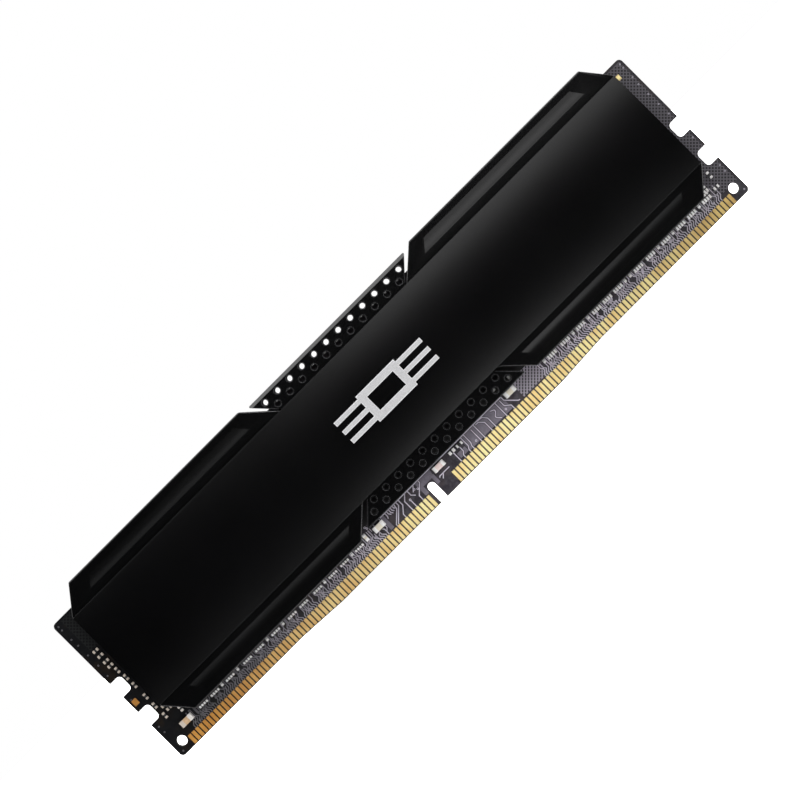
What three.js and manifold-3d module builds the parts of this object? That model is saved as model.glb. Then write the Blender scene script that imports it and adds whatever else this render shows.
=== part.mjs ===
// Desktop memory module: a 288-contact circuit board between two black aluminium heat spreaders.
//
// Frame, in millimetres: +X runs along the module, +Z up from the contact edge, and the front
// spreader faces -Y. The origin is the middle of the contact edge, on the board's mid-plane.
//
// Every piece is drawn in a face frame (x, h, d): x along the module, h the height above the
// contact edge, and d the distance out from the board's mid-plane. The front and rear groups
// turn that frame to face -Y and +Y. Names ending in _H and _D are values of h and d.

import * as THREE from 'three';
import { mergeVertices } from 'three/addons/utils/BufferGeometryUtils.js';
import Module from 'manifold-3d';

const wasm = await Module();
wasm.setup();

const CURVE_SEGMENTS = 6; // per arc

// ---- materials --------------------------------------------------------------------------
const material = (settings) => new THREE.MeshStandardMaterial(settings);
const MATERIALS = {
  board: material({ color: 0x1b1a1f, roughness: 0.5, metalness: 0.0 }),
  gold: material({ color: 0xe0b45a, roughness: 0.3, metalness: 1.0 }),
  anodised: material({ color: 0x0b0b0d, roughness: 0.38, metalness: 0.9 }),
  chip: material({ color: 0x17171a, roughness: 0.6, metalness: 0.0 }),
  pad: material({ color: 0x7f8488, roughness: 0.9, metalness: 0.0 }),
  silver: material({ color: 0xd2d4d6, roughness: 0.35, metalness: 0.8 }),
  label: material({ color: 0xcfd0cf, roughness: 0.6, metalness: 0.0 }),
  capacitor: material({ color: 0xc9a985, roughness: 0.5, metalness: 0.0 }),
  resistor: material({ color: 0x1d1d1f, roughness: 0.5, metalness: 0.0 }),
};

// ---- solids, outlines and meshes --------------------------------------------------------
function toSolid(geometry) {
  const bare = geometry.clone();
  bare.deleteAttribute('normal');
  bare.deleteAttribute('uv');
  const merged = mergeVertices(bare, 1e-5);
  return new wasm.Manifold(
    new wasm.Mesh({
      numProp: 3,
      vertProperties: new Float32Array(merged.attributes.position.array),
      triVerts: new Uint32Array(merged.index.array),
    }),
  );
}

function toGeometry(solid) {
  const mesh = solid.getMesh();
  const geometry = new THREE.BufferGeometry();
  geometry.setAttribute('position', new THREE.BufferAttribute(mesh.vertProperties, 3));
  geometry.setIndex(new THREE.BufferAttribute(mesh.triVerts, 1));
  geometry.computeVertexNormals();
  return geometry;
}

const shapeOf = (points) => new THREE.Shape(points.map(([x, y]) => new THREE.Vector2(x, y)));

// mirrors an outline end for end; reversing the order keeps its winding
const mirrorX = (points) => points.map(([x, h]) => [-x, h]).reverse();

// a rectangle centred on x = 0 and the given height
function rectangle(width, height, centreH = 0) {
  const low = centreH - height / 2;
  const high = centreH + height / 2;
  return shapeOf([
    [-width / 2, low],
    [width / 2, low],
    [width / 2, high],
    [-width / 2, high],
  ]);
}

// a shape in (x, h), from depth innerD out to outerD
function plate(shape, innerD, outerD, curveSegments = CURVE_SEGMENTS) {
  const geometry = new THREE.ExtrudeGeometry(shape, {
    depth: outerD - innerD,
    bevelEnabled: false,
    curveSegments,
  });
  geometry.translate(0, 0, innerD);
  return geometry;
}

// an outline in (h, d), swept along x over +-halfLength
function sweep(points, halfLength) {
  const geometry = new THREE.ExtrudeGeometry(shapeOf(points), {
    depth: 2 * halfLength,
    bevelEnabled: false,
  });
  // (h, d, along) -> (x = along, h, d)
  geometry.applyMatrix4(
    new THREE.Matrix4().set(0, 0, 1, -halfLength, 1, 0, 0, 0, 0, 1, 0, 0, 0, 0, 0, 1),
  );
  return geometry;
}

// a shape pulled out to the given depth, with a one-step bevel inside its outline at both ends
function bevelledPlate(shape, depth, bevelThickness, bevelSize) {
  return new THREE.ExtrudeGeometry(shape, {
    depth,
    bevelEnabled: true,
    bevelThickness,
    bevelSize,
    bevelOffset: -bevelSize,
    bevelSegments: 1,
  });
}

function piece(name, geometry, mat, [x, h, d] = [0, 0, 0]) {
  const mesh = new THREE.Mesh(geometry, mat);
  mesh.name = name;
  mesh.position.set(x, h, d);
  return mesh;
}

// ---- circuit board ----------------------------------------------------------------------
const BOARD_LENGTH = 133.35;
const BOARD_HEIGHT = 31.25;
const BOARD_THICKNESS = 1.4;
const HALF_LENGTH = BOARD_LENGTH / 2;
const HALF_BOARD = BOARD_THICKNESS / 2;
const BOARD_CORNER_R = 0.75;
const EDGE_STEP = 0.5; // the contact edge is this much higher at both ends
const STEP_LEFT = [28.2, 37.4]; // start and end of the ramp, from the left end
const STEP_RIGHT = [34.75, 44.75]; // the same, from the right end
const KEY_X = -5.575;
const KEY_R = 0.75; // half the key slot's width, and the radius of its round top
const KEY_DEPTH = 3.7;
const LATCH_NOTCH_H = [9.5, 16.1];
const LATCH_NOTCH_HEIGHT = 3.0;
const LATCH_NOTCH_DEPTH = 2.2;
const LATCH_NOTCH_R = 0.75;
const END_HOLE_D = 1.8;
const END_HOLE_INSET = 1.85;
const END_HOLE_H = 2.55;

// cuts a notch into the end at +X (side 1, drawn upwards) or -X (side -1, drawn downwards)
function addLatchNotch(shape, side, h) {
  const r = LATCH_NOTCH_R;
  const end = side * HALF_LENGTH;
  const floor = side * (HALF_LENGTH - LATCH_NOTCH_DEPTH);
  const first = h - (side * LATCH_NOTCH_HEIGHT) / 2;
  const last = h + (side * LATCH_NOTCH_HEIGHT) / 2;
  const arcX = floor + side * r;
  const firstAngle = (-side * Math.PI) / 2;
  const lastAngle = side > 0 ? Math.PI : 0;
  shape.lineTo(end, first);
  shape.lineTo(arcX, first);
  shape.absarc(arcX, first + side * r, r, firstAngle, firstAngle - Math.PI / 2, true);
  shape.lineTo(floor, last - side * r);
  shape.absarc(arcX, last - side * r, r, lastAngle, lastAngle - Math.PI / 2, true);
  shape.lineTo(end, last);
}

// counter-clockwise from the left end of the contact edge
function boardShape() {
  const half = HALF_LENGTH;
  const r = BOARD_CORNER_R;
  const shape = new THREE.Shape();
  shape.moveTo(-half + r, EDGE_STEP);
  shape.lineTo(-half + STEP_LEFT[0], EDGE_STEP);
  shape.lineTo(-half + STEP_LEFT[1], 0);
  shape.lineTo(KEY_X - KEY_R, 0);
  shape.lineTo(KEY_X - KEY_R, KEY_DEPTH - KEY_R);
  shape.absarc(KEY_X, KEY_DEPTH - KEY_R, KEY_R, Math.PI, 0, true);
  shape.lineTo(KEY_X + KEY_R, 0);
  shape.lineTo(half - STEP_RIGHT[1], 0);
  shape.lineTo(half - STEP_RIGHT[0], EDGE_STEP);
  shape.lineTo(half - r, EDGE_STEP);
  shape.absarc(half - r, EDGE_STEP + r, r, -Math.PI / 2, 0, false);
  for (const h of LATCH_NOTCH_H) addLatchNotch(shape, 1, h);
  shape.lineTo(half, BOARD_HEIGHT - r);
  shape.absarc(half - r, BOARD_HEIGHT - r, r, 0, Math.PI / 2, false);
  shape.lineTo(-half + r, BOARD_HEIGHT);
  shape.absarc(-half + r, BOARD_HEIGHT - r, r, Math.PI / 2, Math.PI, false);
  for (const h of [...LATCH_NOTCH_H].reverse()) addLatchNotch(shape, -1, h);
  shape.lineTo(-half, EDGE_STEP + r);
  shape.absarc(-half + r, EDGE_STEP + r, r, Math.PI, Math.PI * 1.5, false);
  for (const side of [-1, 1]) {
    const hole = new THREE.Path();
    hole.absarc(side * (half - END_HOLE_INSET), END_HOLE_H, END_HOLE_D / 2, 0, Math.PI * 2, true);
    shape.holes.push(hole);
  }
  return shape;
}

function circuitBoard() {
  return piece('circuit_board', plate(boardShape(), -HALF_BOARD, HALF_BOARD), MATERIALS.board);
}

// ---- contacts ---------------------------------------------------------------------------
const CONTACT_PITCH = 0.85;
const CONTACT_WIDTH = 0.6;
const CONTACT_TOP_H = 2.43;
const CONTACT_BUS = 0.12; // height of the plating strip that joins the contacts of a block
const CONTACT_THICKNESS = 0.05;
const CONTACT_EDGE_GAP = 0.12;
// x of the first contact, and how many there are
const CONTACTS_SHORT = { first: -63.325, count: 67 };
const CONTACTS_LONG = { first: -1.275, count: 77 };

// height of the board's contact edge at x
function edgeHeight(x) {
  const ramp = (distance, [start, end]) =>
    EDGE_STEP * (1 - Math.min(1, Math.max(0, (distance - start) / (end - start))));
  return Math.max(ramp(x + HALF_LENGTH, STEP_LEFT), ramp(HALF_LENGTH - x, STEP_RIGHT));
}

// one block of contacts, as a comb whose teeth point down
function contactComb({ first, count }, mirrored) {
  const busTop = CONTACT_TOP_H + CONTACT_BUS;
  const halfWidth = CONTACT_WIDTH / 2;
  const last = first + (count - 1) * CONTACT_PITCH;
  const points = [];
  for (let i = 0; i < count; i++) {
    const x = first + i * CONTACT_PITCH;
    const low = edgeHeight(x) + CONTACT_EDGE_GAP;
    if (i > 0) points.push([x - halfWidth, CONTACT_TOP_H]);
    points.push([x - halfWidth, low], [x + halfWidth, low]);
    if (i < count - 1) points.push([x + halfWidth, CONTACT_TOP_H]);
  }
  points.push([last + halfWidth, busTop], [first - halfWidth, busTop]);
  return plate(
    shapeOf(mirrored ? mirrorX(points) : points),
    HALF_BOARD,
    HALF_BOARD + CONTACT_THICKNESS,
  );
}

// ---- chips and thermal pad --------------------------------------------------------------
// sizes are length along x, height along h, thickness
const CHIP_SIZE = [7.5, 11.0, 1.1];
const CHIP_CHAMFER = 0.08;
const CHIP_H = 16.5; // centre line of the chips and the pad
const CHIP_PITCH = 13;
const CHIP_INNER_X = 12.5; // the chips nearest the middle
const CHIP_HALF_ROW = [0, 1, 2, 3].map((i) => CHIP_INNER_X + i * CHIP_PITCH);
const CHIP_X = [...CHIP_HALF_ROW.map((x) => -x).reverse(), ...CHIP_HALF_ROW];
const SPD_SIZE = [2.0, 3.0, 0.75];
const SPD_CHAMFER = 0.05;
const PAD_LENGTH = 114;
const PAD_HEIGHT = 11.6;
const PAD_THICKNESS = 0.7;
const PAD_BASE_D = HALF_BOARD + CHIP_SIZE[2];

// a moulded package: a block whose outer edges are chamfered, its base on d = 0
function packageGeometry([length, height, thickness], chamfer) {
  const shape = rectangle(length, height);
  const bevelled = bevelledPlate(shape, thickness, chamfer, chamfer);
  // brings the outer face to the block's; the inner bevel falls below the base, out of the block
  bevelled.translate(0, 0, -chamfer);
  return toGeometry(toSolid(plate(shape, 0, thickness)).intersect(toSolid(bevelled)));
}

function chip(name, size, chamfer, x) {
  return piece(name, packageGeometry(size, chamfer), MATERIALS.chip, [x, CHIP_H, HALF_BOARD]);
}

function thermalPad(name, x) {
  const geometry = plate(rectangle(PAD_LENGTH, PAD_HEIGHT), 0, PAD_THICKNESS);
  return piece(name, geometry, MATERIALS.pad, [x, CHIP_H, PAD_BASE_D]);
}

// ---- heat spreader dimensions -----------------------------------------------------------
const HALF_WIDTH = 63.3; // half the spreader's extent along x
const SPREADER_SHIFT = 0.4; // both spreaders sit this far towards the long block of contacts
const BAND_H = [9.41, 29.7];
const BAND_MID_H = (BAND_H[0] + BAND_H[1]) / 2;
const BAND_HALF = (BAND_H[1] - BAND_H[0]) / 2;
const BAND_INNER_D = PAD_BASE_D + PAD_THICKNESS;
const BAND_LAND_D = 4.0;
const BAND_LAND_HALF = 3.2; // flat middle of the crowned band
const BAND_CROWN = 0.4; // fall from the flat middle to the band's edge
const BAND_CHAMFER = 0.15;
// where the crown is sampled, as distances from the band's mid-line
const CROWN_STATIONS = [BAND_LAND_HALF, 5.4, 6.9, 8.1, 9.1, BAND_HALF - BAND_CHAMFER];
const WING_D = [2.2, 3.15];
const WING_TOP_H = 34.45;
const WING_BOTTOM_H = 4.8;
const WING_EDGE_BEVEL = 0.15;
const WING_FLANGE_INNER_D = 0.5;
const WING_FLANGE_THICKNESS = 0.85;
const RECESS_FLOOR_D = 2.75;
const RECESS_BEVEL = 0.35;
const STRIP_D = [2.1, 2.75];
const STRIP_TOP_H = 33.84;
const STRIP_BEND_H = 33.26;
const STRIP_BOTTOM_H = 5.54;
const STRIP_FLANGE_INNER_D = 0.8;
const STRIP_FLANGE_THICKNESS = 0.5;
const VENT_D = 1.1; // diameter
const VENT_PITCH = 2.84;
const VENT_SEGMENTS = 5;
const UPPER_VENT_ROWS = [{ h: 32.41, count: 12 }, { h: 30.82, count: 11 }];
const LOWER_VENT_ROWS = [{ h: 8.39, count: 11 }, { h: 6.87, count: 12 }];
const ROOT_OVERLAP = 1.2; // how far wings and strips run in under the band's edge
const UPPER_ROOT_H = BAND_H[1] - ROOT_OVERLAP;
const LOWER_ROOT_H = BAND_H[0] + ROOT_OVERLAP;
const BLANK_D = [0, 4]; // blanks span more than the sections that trim them
const POCKET_CUT_D = 5; // pocket cutters end here, clear of the band
const RECESS_CUT_RISE = 1; // straight part of a recess cutter, clear of the wing

// wing outlines in (x, h) for the +X half; the -X half is their mirror image
const UPPER_WING = [
  [13.5, UPPER_ROOT_H],
  [HALF_WIDTH, UPPER_ROOT_H],
  [HALF_WIDTH, 29.9],
  [59.65, WING_TOP_H],
  [20.05, WING_TOP_H],
  [15.0, 29.85],
  [14.8, 29.6],
];
const LOWER_WING = [
  [59.5, WING_BOTTOM_H],
  [HALF_WIDTH, 9.1],
  [HALF_WIDTH, LOWER_ROOT_H],
  [13.5, LOWER_ROOT_H],
  [15.6, 9.55],
  [15.9, 9.3],
  [20.7, WING_BOTTOM_H],
];
const UPPER_RECESS = [[20.5, 31.05], [57.8, 31.05], [56.3, 33.2], [22.2, 33.2]];
const LOWER_RECESS = [[22.15, 6.1], [56.2, 6.1], [57.6, 8.3], [20.2, 8.3]];

// whole outlines in (x, h) of the strips between the wings
const UPPER_STRIP = [
  [-14.4, UPPER_ROOT_H],
  [14.4, UPPER_ROOT_H],
  [14.5, 29.75],
  [18.35, STRIP_TOP_H],
  [-18.35, STRIP_TOP_H],
  [-14.5, 29.75],
];
const LOWER_STRIP = [
  [-18.6, STRIP_BOTTOM_H],
  [18.6, STRIP_BOTTOM_H],
  [14.85, 9.35],
  [14.4, LOWER_ROOT_H],
  [-14.4, LOWER_ROOT_H],
  [-14.85, 9.35],
];

// sections in (h, d): flat sheets; the upper ones turn in over the board
const UPPER_WING_SECTION = [
  [UPPER_ROOT_H, WING_D[0]],
  [WING_TOP_H - WING_FLANGE_THICKNESS, WING_D[0]],
  [WING_TOP_H - WING_FLANGE_THICKNESS, WING_FLANGE_INNER_D],
  [WING_TOP_H, WING_FLANGE_INNER_D],
  [WING_TOP_H, WING_D[1] - WING_EDGE_BEVEL],
  [WING_TOP_H - WING_EDGE_BEVEL, WING_D[1]],
  [UPPER_ROOT_H, WING_D[1]],
];
const LOWER_WING_SECTION = [
  [WING_BOTTOM_H, WING_D[0]],
  [LOWER_ROOT_H, WING_D[0]],
  [LOWER_ROOT_H, WING_D[1]],
  [WING_BOTTOM_H + WING_EDGE_BEVEL, WING_D[1]],
  [WING_BOTTOM_H, WING_D[1] - WING_EDGE_BEVEL],
];
const UPPER_STRIP_SECTION = [
  [UPPER_ROOT_H, STRIP_D[0]],
  [STRIP_TOP_H - STRIP_FLANGE_THICKNESS, STRIP_D[0]],
  [STRIP_TOP_H - STRIP_FLANGE_THICKNESS, STRIP_FLANGE_INNER_D],
  [STRIP_TOP_H, STRIP_FLANGE_INNER_D],
  [STRIP_TOP_H, STRIP_D[1] - (STRIP_TOP_H - STRIP_BEND_H)],
  [STRIP_BEND_H, STRIP_D[1]],
  [UPPER_ROOT_H, STRIP_D[1]],
];

// ---- badge and label --------------------------------------------------------------------
const BADGE_LENGTH = 20; // over the leads
const BADGE_HEIGHT = 5.8;
const BADGE_BODY_HALF = 4.4; // half the length of the frame, without its leads
const BADGE_OPENING = [6.0, 3.1];
const BADGE_LEAD_HALF = 0.42; // half a lead's width
const BADGE_LEAD_PITCH = 1.95;
const BADGE_H = 19.6;
const BADGE_THICKNESS = 0.15;
const BADGE_BASE_D = BAND_LAND_D - BADGE_THICKNESS;
const BADGE_CLEARANCE = 0.05;
const LABEL_SIZE = [62, 11];
const LABEL_POCKET_D = 3.88;
const LABEL_THICKNESS = 0.07;
const LABEL_CLEARANCE = 0.1;

// a chip seen from above: a frame with three leads at each end, grown all round by `grow`
function badgeShape(grow = 0) {
  const bodyX = BADGE_BODY_HALF + grow;
  const tip = BADGE_LENGTH / 2 + grow;
  const top = BADGE_HEIGHT / 2 + grow;
  const lead = BADGE_LEAD_HALF + grow;
  const right = [[bodyX, -top]];
  for (const y of [-BADGE_LEAD_PITCH, 0, BADGE_LEAD_PITCH]) {
    right.push([bodyX, y - lead], [tip, y - lead], [tip, y + lead], [bodyX, y + lead]);
  }
  right.push([bodyX, top]);
  const left = right.map(([x, y]) => [-x, -y]);
  const shape = shapeOf([...right, ...left].map(([x, y]) => [x, y + BADGE_H]));
  const [openingLength, openingHeight] = BADGE_OPENING.map((size) => size - 2 * grow);
  shape.holes.push(rectangle(openingLength, openingHeight, BADGE_H));
  return shape;
}

function badge() {
  const geometry = plate(badgeShape(), 0, BADGE_THICKNESS);
  return piece('badge', geometry, MATERIALS.silver, [SPREADER_SHIFT, 0, BADGE_BASE_D]);
}

function badgePocket() {
  return toSolid(plate(badgeShape(BADGE_CLEARANCE), BADGE_BASE_D, POCKET_CUT_D));
}

function rearLabel() {
  const geometry = plate(rectangle(...LABEL_SIZE), 0, LABEL_THICKNESS);
  const place = [-SPREADER_SHIFT, BAND_MID_H, LABEL_POCKET_D];
  return piece('rear_label', geometry, MATERIALS.label, place);
}

function labelPocket() {
  const [length, height] = LABEL_SIZE.map((size) => size + 2 * LABEL_CLEARANCE);
  return toSolid(plate(rectangle(length, height, BAND_MID_H), LABEL_POCKET_D, POCKET_CUT_D));
}

// ---- heat spreader ----------------------------------------------------------------------
// section of the crowned band in (h, d)
function bandProfile() {
  const surfaceD = (offset) => {
    const run = Math.max(0, offset - BAND_LAND_HALF) / (BAND_HALF - BAND_LAND_HALF);
    return BAND_LAND_D - BAND_CROWN * run * run;
  };
  const shoulder = surfaceD(BAND_HALF) - BAND_CHAMFER;
  return [
    [BAND_H[0], BAND_INNER_D],
    [BAND_H[1], BAND_INNER_D],
    [BAND_H[1], shoulder],
    ...CROWN_STATIONS.map((offset) => [BAND_MID_H + offset, surfaceD(offset)]).reverse(),
    ...CROWN_STATIONS.map((offset) => [BAND_MID_H - offset, surfaceD(offset)]),
    [BAND_H[0], shoulder],
  ];
}

// a sunken channel: its walls slope from the floor outline out to the given outline
function recessCutter(outline) {
  const depth = WING_D[1] - RECESS_FLOOR_D;
  const geometry = bevelledPlate(shapeOf(outline), RECESS_CUT_RISE, depth, RECESS_BEVEL);
  geometry.translate(0, 0, WING_D[1]);
  return toSolid(geometry);
}

function wing(outline, section, recess) {
  return toSolid(plate(shapeOf(outline), ...BLANK_D))
    .intersect(toSolid(sweep(section, HALF_WIDTH)))
    .subtract(recessCutter(recess));
}

// a strip pierced by rows of round holes
function ventedStrip(outline, rows, [innerD, outerD]) {
  const shape = shapeOf(outline);
  for (const { h, count } of rows) {
    for (let i = 0; i < count; i++) {
      const hole = new THREE.Path();
      const x = (i - (count - 1) / 2) * VENT_PITCH;
      hole.absarc(x, h, VENT_D / 2, 0, Math.PI * 2, true);
      shape.holes.push(hole);
    }
  }
  return toSolid(plate(shape, innerD, outerD, VENT_SEGMENTS));
}

function heatSpreader(pocket) {
  const solids = [toSolid(sweep(bandProfile(), HALF_WIDTH))];
  for (const mirrored of [false, true]) {
    const place = (points) => (mirrored ? mirrorX(points) : points);
    solids.push(
      wing(place(UPPER_WING), UPPER_WING_SECTION, place(UPPER_RECESS)),
      wing(place(LOWER_WING), LOWER_WING_SECTION, place(LOWER_RECESS)),
    );
  }
  solids.push(
    ventedStrip(UPPER_STRIP, UPPER_VENT_ROWS, BLANK_D).intersect(
      toSolid(sweep(UPPER_STRIP_SECTION, HALF_WIDTH)),
    ),
    ventedStrip(LOWER_STRIP, LOWER_VENT_ROWS, STRIP_D),
  );
  return toGeometry(solids.reduce((a, b) => a.add(b)).subtract(pocket));
}

// ---- small parts on the front of the board ----------------------------------------------
// resistor arrays lie in one row on each side of the middle, half under the lower wings
const ARRAY_SIZE = [2.0, 1.0, 0.4];
const ARRAY_H = 4.72;
const ARRAY_X = [
  -57.95, -55.25, -51.7, -47.6, -44.8, -41.0, -37.1, -34.4, -31.1, -27.55, -24.8, -21.3,
  24.0, 27.1, 30.7, 34.5, 37.0, 39.5, 44.3, 47.1, 50.7, 54.2, 56.8, 60.3,
];
// name, x, h, [length along x, height along h, thickness]
const CAPACITORS = [
  ['end_capacitor', -61.85, 4.4, [2.5, 1.15, 0.9]],
  ['edge_capacitor_1', -16.5, 4.52, [2.1, 1.1, 0.8]],
  ['edge_capacitor_2', -2.4, 4.57, [2.2, 1.05, 0.8]],
  ['edge_capacitor_3', 14.68, 4.95, [2.1, 1.0, 0.8]],
  ['edge_capacitor_4', -19.38, 4.8, [0.62, 1.15, 0.5]],
];

// a block standing on the board's face
function boardBlock(name, x, h, size, mat) {
  return piece(name, new THREE.BoxGeometry(...size), mat, [x, h, HALF_BOARD + size[2] / 2]);
}

function resistorArray(x, i) {
  const name = `resistor_array_${String(i + 1).padStart(2, '0')}`;
  return boardBlock(name, x, ARRAY_H, ARRAY_SIZE, MATERIALS.resistor);
}

function capacitor([name, x, h, size]) {
  return boardBlock(name, x, h, size, MATERIALS.capacitor);
}

// ---- assembly ---------------------------------------------------------------------------
// the pieces both faces share, turned to face -Y
function faceGroup(label, isFront) {
  const group = new THREE.Group();
  group.rotation.x = Math.PI / 2;
  // seen from the rear, the short block of contacts is on the other hand
  const [shortHand, longHand] = isFront ? ['left', 'right'] : ['right', 'left'];
  const shift = isFront ? SPREADER_SHIFT : -SPREADER_SHIFT;
  const spreader = heatSpreader(isFront ? badgePocket() : labelPocket());
  const contacts = (hand, block) =>
    piece(`${label}_contacts_${hand}`, contactComb(block, !isFront), MATERIALS.gold);
  group.add(
    piece(`${label}_heat_spreader`, spreader, MATERIALS.anodised, [shift, 0, 0]),
    thermalPad(`${label}_thermal_pad`, shift),
    contacts(shortHand, CONTACTS_SHORT),
    contacts(longHand, CONTACTS_LONG),
    ...CHIP_X.map((x, i) => chip(`${label}_memory_chip_${i + 1}`, CHIP_SIZE, CHIP_CHAMFER, x)),
  );
  return group;
}

function boardSide() {
  const group = new THREE.Group();
  group.rotation.x = Math.PI / 2;
  group.add(circuitBoard());
  return group;
}

function frontSide() {
  const group = faceGroup('front', true);
  group.add(
    badge(),
    chip('spd_memory_chip', SPD_SIZE, SPD_CHAMFER, 0),
    ...ARRAY_X.map(resistorArray),
    ...CAPACITORS.map(capacitor),
  );
  return group;
}

// a face group turned half round to face +Y
function rearSide() {
  const face = faceGroup('rear', false);
  face.add(rearLabel());
  const group = new THREE.Group();
  group.rotation.z = Math.PI;
  group.add(face);
  return group;
}

const memoryModule = new THREE.Group();
memoryModule.add(boardSide(), frontSide(), rearSide());

export default memoryModule;
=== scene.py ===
"""A memory module with a black heat spreader on each face.

World frame: metres. The module stands on its contact edge, X along it and Z up, with its
front face towards -Y.
Face frame: pieces are drawn in millimetres as (x, y, z): x along the module, y the height
above the contact edge, z the distance out from the board's mid-plane. FRONT and REAR carry
a face frame into the world. The rear one is turned round, so its x runs towards world -X.
"""

import math
import random

import bpy
from mathutils import Matrix, Vector
from mathutils.geometry import delaunay_2d_cdt


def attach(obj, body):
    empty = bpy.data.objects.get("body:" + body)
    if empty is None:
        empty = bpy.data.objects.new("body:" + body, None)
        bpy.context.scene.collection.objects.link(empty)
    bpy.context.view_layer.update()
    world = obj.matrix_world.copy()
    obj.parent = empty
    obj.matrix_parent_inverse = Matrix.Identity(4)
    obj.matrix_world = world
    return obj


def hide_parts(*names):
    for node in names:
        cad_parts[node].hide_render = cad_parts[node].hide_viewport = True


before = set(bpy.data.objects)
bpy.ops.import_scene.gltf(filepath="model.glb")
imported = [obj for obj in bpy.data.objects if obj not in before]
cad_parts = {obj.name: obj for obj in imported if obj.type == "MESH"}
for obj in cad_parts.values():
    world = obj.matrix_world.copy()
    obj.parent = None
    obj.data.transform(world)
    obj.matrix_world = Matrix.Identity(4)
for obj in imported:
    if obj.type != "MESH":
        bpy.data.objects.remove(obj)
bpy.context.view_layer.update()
scene = bpy.context.scene

MM = 0.001
FRONT = Matrix(((MM, 0, 0, 0), (0, 0, -MM, 0), (0, MM, 0, 0), (0, 0, 0, 1)))
REAR = Matrix(((-MM, 0, 0, 0), (0, 0, MM, 0), (0, MM, 0, 0), (0, 0, 0, 1)))
ASIDE = Matrix.Translation((0.4 * MM, 0, 0))  # both spreaders sit this far along the board
FRONT_SPREADER, REAR_SPREADER = ASIDE @ FRONT, ASIDE @ REAR

# ================================================================ main dimensions, mm
# Circuit board
HALF_LEN = 133.35 / 2
BOARD_TOP = 31.25
FACE = 0.7  # z of the board's face, half its thickness
SUNK = FACE - 0.005  # z where traces and pads start, just inside the board
END_RISE = 0.5  # the contact edge is this much higher near both ends
LEFT_SLOPE = (28.2, 37.4)  # where that rise runs out, measured from the left end
RIGHT_SLOPE = (34.75, 44.75)  # and from the right end

# Contact fingers: x of a run's first finger and the number of fingers
FINGER_PITCH = 0.85
SHORT_RUN = (-63.325, 67)
LONG_RUN = (-1.275, 77)

# Heat spreaders: a crowned band, four wings at its ends and two vented strips in the middle
BAND = (9.41, 29.7)
BAND_MID = (BAND[0] + BAND[1]) / 2
BAND_HALF = (BAND[1] - BAND[0]) / 2
SPREADER_END = 63.3
WING_FACE = 3.15  # z of the wings' outer face
STRIP_FACE = 2.75  # z of the vented strips' outer face


# ================================================================ outlines
def area2(points):
    """Twice the signed area of a closed polygon."""
    return sum(
        a[0] * b[1] - b[0] * a[1] for a, b in zip(points, points[1:] + points[:1])
    )


def ccw(points):
    return points if area2(points) > 0 else points[::-1]


def mirror_x(points):
    return [(-x, y) for x, y in points][::-1]


def fillet(points, radii, seg=5):
    """Rounds each corner of a closed polygon by its radius (one number, or one per corner)."""
    count = len(points)
    if not hasattr(radii, "__len__"):
        radii = [radii] * count
    rounded = []
    for i, radius in enumerate(radii):
        corner = Vector(points[i])
        back = Vector(points[i - 1]) - corner
        ahead = Vector(points[(i + 1) % count]) - corner
        room = min(back.length * 0.49, ahead.length * 0.49)
        back, ahead = back / back.length, ahead / ahead.length
        half = math.acos(max(-0.9999, min(0.9999, back.dot(ahead)))) / 2
        if radius <= 0 or half > math.radians(88):
            rounded.append((corner.x, corner.y))
            continue
        setback = min(radius / math.tan(half), room)
        radius = setback * math.tan(half)
        centre = corner + (back + ahead).normalized() * (radius / math.sin(half))
        start, end = corner + back * setback, corner + ahead * setback
        angle0 = math.atan2(start.y - centre.y, start.x - centre.x)
        angle1 = math.atan2(end.y - centre.y, end.x - centre.x)
        while angle1 - angle0 > math.pi:
            angle1 -= 2 * math.pi
        while angle1 - angle0 < -math.pi:
            angle1 += 2 * math.pi
        for k in range(seg + 1):
            angle = angle0 + (angle1 - angle0) * k / seg
            rounded.append(
                (centre.x + radius * math.cos(angle), centre.y + radius * math.sin(angle))
            )
    return rounded


def box_loop(x0, x1, y0, y1, corner, seg=3):
    return fillet([(x0, y0), (x1, y0), (x1, y1), (x0, y1)], corner, seg)


def circle(x, y, radius, count):
    angles = [2 * math.pi * k / count for k in range(count)]
    return [(x + radius * math.cos(a), y + radius * math.sin(a)) for a in angles]


def mitre(before, after, limit):
    """The offset to the left of travel where two unit directions meet."""
    normal1, normal2 = Vector((-before.y, before.x)), Vector((-after.y, after.x))
    return (normal1 + normal2) / max(1 + normal1.dot(normal2), limit)


def inset(points, dist, factor=None):
    """Mitred offset to the left: in for an anticlockwise loop, out for a clockwise one.

    factor gives a multiplier of the offset for each point.
    """
    count = len(points)
    moved = []
    for i in range(count):
        here = Vector(points[i])
        before = (here - Vector(points[i - 1])).normalized()
        after = (Vector(points[(i + 1) % count]) - here).normalized()
        offset = mitre(before, after, 0.35)
        amount = dist * (factor(points[i]) if factor else 1)
        moved.append((here.x + offset.x * amount, here.y + offset.y * amount))
    return moved


def inside(point, loops):
    """Even-odd test of a point against closed loops."""
    hit = False
    for loop in loops:
        for a, b in zip(loop, loop[1:] + loop[:1]):
            if (a[1] > point[1]) != (b[1] > point[1]):
                if point[0] < (b[0] - a[0]) * (point[1] - a[1]) / (b[1] - a[1]) + a[0]:
                    hit = not hit
    return hit


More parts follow.
